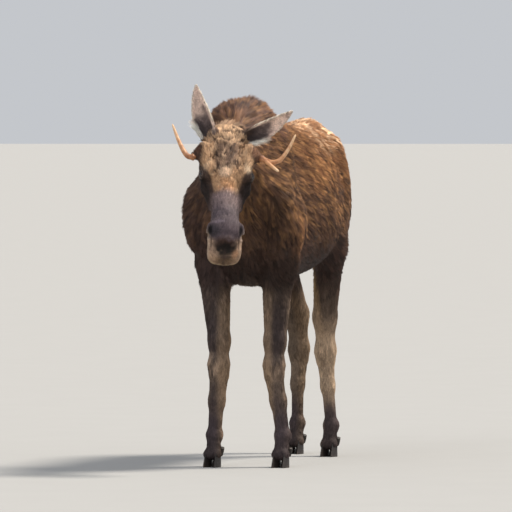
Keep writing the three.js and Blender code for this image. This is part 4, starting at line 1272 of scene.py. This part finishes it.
def grow(name, count, clump, pull, ragged, slot):
    """One stretch of coat: tufts rooted in the skin, drawn together in locks."""
    chosen = np.nonzero(parts == name)[0]
    weight = tri_area[chosen]
    if name == "head":
        weight = weight * head_crowd(to_head(tri_middle[chosen]))
    pick = chosen[np.searchsorted(np.cumsum(weight) / weight.sum(), rng.random(count))]
    r1, r2 = np.sqrt(rng.random(count))[:, None], rng.random(count)[:, None]
    mix = np.concatenate([1 - r1, r1 * (1 - r2), r1 * r2], 1)
    root = (corners[pick] * mix[:, :, None]).sum(1)
    n = unit_rows((normals[tri[pick]] * mix[:, :, None]).sum(1))
    f = lie_of(root, n)
    length, width, rise = size_of(root)
    warp = 0.6 * np.stack([noise(root, 1.7 * clump, 51 + a) for a in range(3)], 1)
    lock = np.floor(grain_of(root, 0.42) * (HAIR_WIDTH / clump) + warp).astype(np.int64)
    lock = np.unique(lock, axis=0, return_inverse=True)[1].ravel()
    locks = lock.max() + 1
    of_lock, dice = rng.random((locks, 5))[lock], rng.random((count, 5))
    turned = (of_lock[:, 0] - 0.5) * 0.5 * ragged + (dice[:, 0] - 0.5) * 0.3 * ragged
    b = np.cross(n, f)
    f = f * np.cos(turned)[:, None] + b * np.sin(turned)[:, None]
    b = np.cross(n, f)
    length = length * (0.7 + 0.4 * dice[:, 1] + 0.25 * of_lock[:, 1])
    rise = rise * (0.35 + 0.55 * dice[:, 2] + 0.25 * of_lock[:, 2])
    width = (width * (0.75 + 0.5 * dice[:, 3]))[:, None]
    base = root - n * np.minimum(width, 2.0)
    tip = root + f * length[:, None] + n * rise[:, None]
    total = np.stack([np.bincount(lock, tip[:, a], locks) for a in range(3)], 1)
    mean = total / np.bincount(lock, minlength=locks)[:, None]
    draw = (mean[lock] - tip) * pull * (0.5 + dice[:, 4:])
    tip += draw - n * (draw * n).sum(1, keepdims=True) * 0.6
    colour = markings(root) * (0.54 + 0.7 * of_lock[:, 3] ** 1.4 + 0.32 * dice[:, 1])[:, None]
    soft = unit_rows(n + ragged * (0.8 * (of_lock[:, 4:] - 0.5) * b + 0.7 * (of_lock[:, 2:3] - 0.5) * f))
    points = np.stack([base - b * width, base + b * width, base + n * width * 1.6, tip], 1)
    facing = np.stack([0.8 * soft - 0.5 * b, 0.8 * soft + 0.5 * b, soft, soft + 0.3 * f], 1)
    faces = (SIDES[None] + 4 * np.arange(count)[:, None, None]).reshape(-1, 3)
    mesh = mesh_of("coat_" + name, to_scene(points.reshape(-1, 3)), faces)
    add_values(mesh, "tone", np.repeat(colour, 4, 0), "FLOAT_COLOR")
    add_values(mesh, "along", np.tile([0, 0, 0.1, 1], count))
    add_values(mesh, "custom_normal", unit_rows(facing.reshape(-1, 3)), "FLOAT_VECTOR")
    uv = 0.002 + 0.993 * np.clip(unwrap(name, root), 0, 1)
    uv = np.repeat(uv, 4, 0) + 0.003 * np.tile(PATCH, (count, 1))
    layer = mesh.uv_layers.new(name="OFBake")
    layer.data.foreach_set("uv", uv[faces.ravel()].astype(np.float32).ravel())
    put("coat_" + name, mesh, coat, slot)


def coat_look():
    look = Look("coat_hair", Roughness=0.62, Specular_IOR_Level=0.22)
    tone, along = look.attribute("tone", "Color"), look.attribute("along")
    streak = look.noised(240, 2, 0.5)
    shade = look.times(look.ranged(along, 0, 1, 0.6, 1.22), look.ranged(streak, 0.3, 0.7, 0.86, 1.14))
    look.give(Base_Color=look.scaled(tone, shade), Roughness=look.ranged(streak, 0.3, 0.7, 0.55, 0.72))
    return look


def head_crowd(h):
    """How thickly the tufts stand on the head: more on the ears' rims, none on nose, lids and eyes."""
    crowd = 1 - bare_of(h)
    for ear in EARS:
        e = ear_part(ear, h)
        crowd = np.where(e.on, 1.2 + 1.6 * step(10, 3, e.edge), crowd)
    return crowd


coat = coat_look()
parts = part_of(tri_middle)
share = 1.0
for name, count, clump, pull, ragged, slot in (
    # stretch, tufts, width of a lock, how far it draws its tips together, raggedness, slot
    ("withers", 42000, 18, 0.55, 1.2, "body_coat"),
    ("shoulder_left", 33000, 16, 0.4, 1, "body_coat"),
    ("shoulder_right", 33000, 16, 0.4, 1, "body_coat"),
    ("neck", 40000, 16, 0.4, 1, "neck_coat"),
    ("barrel_left", 41000, 18, 0.6, 1, "body_coat"),
    ("barrel_right", 41000, 18, 0.6, 1, "body_coat"),
    ("rump", 44000, 18, 0.6, 1, "body_coat"),
    ("forelegs", 28000, 10, 0.3, 0.7, "leg_coat"),
    ("hindlegs", 28000, 10, 0.3, 0.7, "leg_coat"),
    ("head", 45000, 8, 0.3, 0.8, "face_coat"),
):
    grow(name, int(count * share), clump, pull, ragged, slot)


# ------------------------------------------------------------------ eyes, antlers, hooves and dewclaws
def face_out(mesh):
    """Turn the faces of a closed mesh outward."""
    bm = bmesh.new()
    bm.from_mesh(mesh)
    bmesh.ops.recalc_face_normals(bm, faces=bm.faces[:])
    bm.to_mesh(mesh)
    bm.free()


def wall(rings, sides, joined=False):
    """Quads between each ring of points and the next; if joined, between the last and the first too."""
    r, k = np.meshgrid(np.arange(rings if joined else rings - 1), np.arange(sides), indexing="ij")
    here, there, on = r * sides, (r + 1) % rings * sides, (k + 1) % sides
    return np.stack([here + k, here + on, there + on, there + k], -1).reshape(-1, 4)


def closed(node_name, rings, look, slot, name, values):
    """A closed piece from rings of points, with a value at each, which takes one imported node's place."""
    count, sides = rings.shape[:2]
    points = np.concatenate([rings.reshape(-1, 3), rings[[0, -1]].mean(1)])
    last, middle = (count - 1) * sides, count * sides
    caps = [(middle, (k + 1) % sides, k) for k in range(sides)]
    caps += [(middle + 1, last + k, last + (k + 1) % sides) for k in range(sides)]
    mesh = bpy.data.meshes.new("fine_" + node_name)
    mesh.from_pydata(to_scene(points).tolist(), [], wall(count, sides).tolist() + caps)
    face_out(mesh)
    rows = values.reshape(count * sides, -1)
    rows = np.concatenate([rows, [rows[:sides].mean(0), rows[-sides:].mean(0)]])
    add_values(mesh, name, rows, "FLOAT_VECTOR" if rows.shape[1] == 3 else "FLOAT")
    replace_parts(put("fine_" + node_name, mesh, look, slot), node_name)


def circle(sides):
    return np.linspace(0, 2 * math.pi, sides, endpoint=False)


def eye_look():
    look = Look("eyeball", Roughness=0.14, Coat_Weight=0.5, Coat_Roughness=0.06, Specular_IOR_Level=0.4)
    gaze = look.attribute("gaze", "Vector")

    def reach(*by):
        """How far off the middle of the eye, stretched by three factors."""
        spot = look.node("VectorMath", {0: gaze, 1: by}, operation="MULTIPLY")
        return look.node("VectorMath", {0: spot}, "Value", operation="LENGTH")

    fibre = look.noised(9, 3, 0.6, gaze)
    across = look.plus(reach(1, 1, 0), look.ranged(fibre, 0.3, 0.7, -0.05, 0.05))
    iris = look.tinted(across, (0.2, 58, 34, 20), (0.44, 40, 24, 15), (0.58, 12, 9, 8), (0.72, 30, 24, 22))
    pupil = look.ranged(reach(1 / 0.4, 1 / 0.2, 0), 0.9, 1.1)
    colours = {0: pupil, 6: (0.002, 0.002, 0.003, 1), 7: iris}
    look.give(Base_Color=look.node("Mix", colours, 2, data_type="RGBA"))
    return look


def make_eyes():
    look = eye_look()
    theta, phi = np.linspace(0.04, math.pi - 0.04, 22)[:, None, None], circle(36)[None, :, None]
    bulge = 1.2 * np.exp(-(theta / 0.55) ** 2)
    local = [np.sin(theta) * np.cos(phi), np.sin(theta) * np.sin(phi), np.cos(theta) + 0 * phi]
    for eye, side in zip(EYES, ("left", "right")):
        aside = np.cos(phi) * eye["fore"] + np.sin(phi) * eye["up"]
        gaze = np.cos(theta) * eye["out"] + np.sin(theta) * aside
        rings = from_head(eye["centre"] + (EYE_RADIUS - 0.2 + bulge) * gaze)
        closed("eye_" + side, rings, look, "eyeball", "gaze", np.concatenate(local, -1))


def make_lid_rims():
    """The bare dark edge of the lids, a thin roll round each opening."""
    look = Look("lid_edge", Specular_IOR_Level=0.5)
    grain = look.noised(300, 3, 0.6)
    tone = look.tinted(grain, (0.3, 52, 44, 42), (0.7, 96, 84, 80))
    look.give(Base_Color=tone, Roughness=look.ranged(grain, 0.3, 0.7, 0.5, 0.3))
    look.bump(grain, 0.0006, 0.5)
    t, angle = circle(96), circle(10)[:, None]
    a = LID_HALF * np.cos(t)
    b = 10.6 * np.sin(t) * np.abs(np.sin(t)) ** 0.6 + 0.15 * a
    away = np.stack([a, b, np.sqrt((EYE_RADIUS + 1) ** 2 - a * a - b * b)], 1)
    along = unit_rows(np.roll(away, -1, 0) - np.roll(away, 1, 0))
    lift = unit_rows(away)
    outward = np.cross(along, lift)
    roll = away[:, None] + 2.7 * np.cos(angle) * outward[:, None] + 2.0 * np.sin(angle) * lift[:, None]
    roll = roll.reshape(-1, 3)
    points = [eye["centre"] + roll @ np.stack([eye["fore"], eye["up"], eye["out"]]) for eye in EYES]
    faces = [wall(len(t), len(angle), True) + n * len(roll) for n in range(2)]
    mesh = mesh_of("lid_rims", to_scene(from_head(np.concatenate(points))), np.concatenate(faces))
    face_out(mesh)
    put("lid_rims", mesh, look, "face_coat")


def curve(points, count):
    """Places evenly spaced on a smooth curve, the way it runs there, and how far along each is."""
    p = np.array(points, float)
    knots = np.concatenate([[0], np.cumsum(np.linalg.norm(np.diff(p, axis=0), axis=1) ** 0.5)])
    fine = np.stack(between(np.column_stack([knots, p]), np.linspace(0, knots[-1], 400)), 1)
    run = np.concatenate([[0], np.cumsum(np.linalg.norm(np.diff(fine, axis=0), axis=1))])
    far = np.linspace(0, run[-1], count)
    place = np.stack([np.interp(far, run, fine[:, a]) for a in range(3)], 1)
    return place, unit_rows(np.gradient(place, axis=0)), far


def horn_tube(points, thick, tip, burr, steps=64, sides=28):
    """Rings of a tapered, faintly ridged tube along a curve, and how far up it each ring is."""
    place, way, far = curve(points, steps)
    side = unit(np.cross(way[0], (0.3, 0.2, 1)))
    angle = circle(sides)
    rings = []
    for n in range(steps):
        side = unit(side - way[n] * side.dot(way[n]))
        other = np.cross(way[n], side)
        t = far[n] / far[-1]
        r = lerp(thick, tip, t ** 1.3) * math.sqrt(max(1 - max(0, (t - 0.93) / 0.0705) ** 2, 0.01))
        ridges = 1 + (0.035 * np.sin(3 * angle + 5 * t) + 0.022 * np.sin(8 * angle - 7 * t)) * (1 - t)
        spots = np.stack([9 * np.cos(angle), 9 * np.sin(angle), 0 * angle + far[n]], 1)
        r = r * ridges + 0.9 * noise(spots, 6, 61) * (1 - t) ** 2
        if burr:
            r = r * lerp(0.6, 1, step(burr - 18, burr - 4, far[n]))
            r = r + 4.2 * math.exp(-((far[n] - burr) / 4.5) ** 2) * (1 + 0.3 * np.sin(9 * angle))
        rings.append(place[n] + np.outer(np.cos(angle) * r, side) + np.outer(np.sin(angle) * r, other))
    return from_head(np.array(rings)), np.repeat(far / far[-1], sides)


ANTLERS = (
    # name, thickness at the root and near the tip, how far up the burr is, course in the head's frame
    ("right", 14, 4.5, 48,
     (-114, -144, 58), (-150, -166, 60), (-182, -160, 60), (-216, -100, 64), (-252, -8, 74)),
    ("left_beam", 14, 4.5, 48,
     (114, -144, 58), (152, -160, 64), (202, -182, 72), (240, -172, 84), (276, -124, 108), (304, -66, 134)),
    ("left_front_tine", 11.5, 5, None,
     (152, -156, 66), (188, -198, 84), (232, -242, 96)),
)


def make_antlers():
    look = Look("antler", Specular_IOR_Level=0.45)
    grain = look.noised(55, 4, 0.65)
    worn = look.plus(look.times(grain, 0.55), look.times(look.attribute("up"), 0.42))
    brown = (0.14, 80, 48, 30), (0.34, 146, 94, 60), (0.52, 200, 146, 102), (0.72, 232, 196, 156)
    tone = look.tinted(worn, *brown)
    look.give(Base_Color=tone, Roughness=look.ranged(grain, 0.3, 0.7, 0.5, 0.3))
    look.bump(look.noised(160, 3, 0.6), 0.0012, 0.6)
    for name, thick, tip, burr, *course in ANTLERS:
        rings, up = horn_tube(course, thick, tip, burr)
        closed("antler_" + name, rings, look, "antler", "up", up)


HOOF_LENGTH, HOOF_WIDTH, HOOF_HEIGHT, HOOF_HEEL = 112, 46, 68, 34


def hoof_rings(outer):
    """One half of a cloven hoof, pointing along -Y, standing on z = 0, its outer wall on the outer side."""
    level = np.concatenate([[0, 0.03, 0.08], np.linspace(0.14, 1, 22)])[:, None]
    angle = circle(40)[None, :]
    forward, sideways = -np.cos(angle), np.sin(angle)
    pointed = np.where(forward < 0, np.maximum(1 + forward, 0) ** 0.62, 1)
    ring = 0.4 * np.sin(level * 46 + 2.5 * np.sin(level * 11))
    ring = ring * step(0.1, 0.3, level) * step(1.0, 0.85, level)
    half = HOOF_WIDTH / 2 * np.where(sideways * outer < 0, 0.72, 1) * lerp(1, 0.84, level) + ring
    length = HOOF_LENGTH / 2 * lerp(1, 0.55, level) + ring
    top = lerp(HOOF_HEIGHT, HOOF_HEEL, (forward + 1) / 2)
    curl = outer * 4 * (1 - forward) * (1 - level)
    swell = 1 - 0.04 * np.clip(1 - level / 0.14, 0, 1) ** 2
    x = np.sign(sideways) * np.abs(sideways) ** 0.8 * half * np.clip(pointed, 0.28, 1) - curl * 0.6
    y = forward * length * swell + 15 * level
    return np.stack([x * swell, y, level * top], -1), level + 0 * angle


def dewclaw_rings():
    """A short blunt cone, curved, pointing down and back."""
    angle, t = circle(20)[None, :], np.linspace(0, 1, 16)[:, None]
    r = lerp(13.5, 4.5, t ** 1.4) * np.sqrt(np.maximum(1 - np.clip((t - 0.8) / 0.205, 0, 1) ** 2, 0.01))
    r = r + 0.4 * np.sin(t * 34 + 2 * np.sin(t * 9)) * step(1.0, 0.8, t)
    x, y = np.cos(angle) * r * 1.1, np.sin(angle) * r * 0.85 + 5 * t * (1 - t)
    return np.stack([x, y, t * 46 - 23 + 0 * angle], -1) @ turn("X", 208).T, t + 0 * angle


def make_feet():
    look = Look("hoof_horn", Specular_IOR_Level=0.4)
    streak = look.noised(70, 4, 0.6)
    worn = look.plus(look.times(streak, 0.6), look.times(look.attribute("up"), -0.25))
    tone = look.tinted(worn, (0.0, 22, 18, 17), (0.3, 46, 38, 34), (0.5, 84, 70, 58))
    look.give(Base_Color=tone, Roughness=look.ranged(streak, 0.3, 0.7, 0.6, 0.38))
    look.bump(streak, 0.0015, 0.5)
    for kind, legs in (("foreleg", FORELEGS), ("hindleg", HINDLEGS)):
        for leg in legs:
            x, y = leg["foot"]
            side = "left" if leg["side"] > 0 else "right"
            for outer, which in ((1, "left"), (-1, "right")):
                for part, (rings, up), splay, place in (
                    ("hoof", hoof_rings(outer), 9, (x + outer * (HOOF_WIDTH / 2 - 1), y - 40, 0)),
                    ("dewclaw", dewclaw_rings(), 12, (x + outer * 22, y + 46, 66)),
                ):
                    rings = rings @ turn("Z", outer * splay).T + place
                    closed(f"{part}_{kind}_{side}_{which}", rings, look, "horn", "up", up)


make_eyes()
make_lid_rims()
make_antlers()
make_feet()


# ------------------------------------------------------------------ floor, light and camera
FLOOR_HALF, FLOOR_TONES = 4000, (0.37, 0.39)


def make_floor():
    corner = np.array([(-1, -1, 0), (1, -1, 0), (1, 1, 0), (-1, 1, 0)])
    mesh = mesh_of("floor", corner * FLOOR_HALF, np.array([[0, 1, 2, 3]]))
    look = Look("floor", Roughness=0.9)
    tone = look.node("ValToRGB", {"Fac": look.noised(3, 2, 0.5)}, "Color")
    for stop, level in zip(tone.node.color_ramp.elements, FLOOR_TONES):
        stop.color = (level, level * 0.99, level * 0.97, 1)
    look.give(Base_Color=tone)
    mesh.materials.append(look.material)
    floor = bpy.data.objects.new("floor", mesh)
    bpy.context.scene.collection.objects.link(floor)


def sun(name, source, softness, strength, colour):
    light = bpy.data.lights.new(name, "SUN")
    light.angle, light.energy, light.color = math.radians(softness), strength, colour
    obj = bpy.data.objects.new(name, light)
    obj.location = source.normalized() * 8
    obj.rotation_euler = (-source).to_track_quat("-Z", "Y").to_euler()
    bpy.context.scene.collection.objects.link(obj)


make_floor()
world = bpy.data.worlds.new("studio")
bpy.context.scene.world = world
world.use_nodes = True
sky = world.node_tree.nodes["Background"].inputs
sky["Color"].default_value = (0.92, 0.95, 1.0, 1)
sky["Strength"].default_value = 0.6
AZIMUTH = math.radians(15.5)
RIGHT = Vector((math.cos(AZIMUTH), math.sin(AZIMUTH), 0))
FORWARD = Vector((-math.sin(AZIMUTH), math.cos(AZIMUTH), 0))
UP = Vector((0, 0, 1))
sun("key", RIGHT * 0.62 + FORWARD * 0.16 + UP, 14, 4.2, (1.0, 0.93, 0.82))
sun("front", -RIGHT * 0.5 - FORWARD + UP * 0.7, 30, 0.8, (0.92, 0.95, 1.0))

# A long lens far off. Lengths of the view are in 512ths of its width.
DISTANCE, HORIZON, FOCAL_LENGTH, VIEW_WIDTH = 30.0, 141.5, 6510, 512
camera_data = bpy.data.cameras.new("camera")
camera_data.sensor_width = 36
camera_data.lens = FOCAL_LENGTH / VIEW_WIDTH * camera_data.sensor_width
camera_data.clip_end = 6000
camera = bpy.data.objects.new("camera", camera_data)
bpy.context.scene.collection.objects.link(camera)
aim = Vector((0, -0.55, 0)) + Vector(SHIFT * MM) + RIGHT * 0.046
camera.location = aim - FORWARD * DISTANCE + UP * 1.5
tilt = math.atan((VIEW_WIDTH / 2 - HORIZON) / FOCAL_LENGTH)
camera.rotation_euler = (math.pi / 2 - tilt, 0, AZIMUTH)
bpy.context.scene.camera = camera
bpy.context.scene.view_settings.view_transform = "Standard"
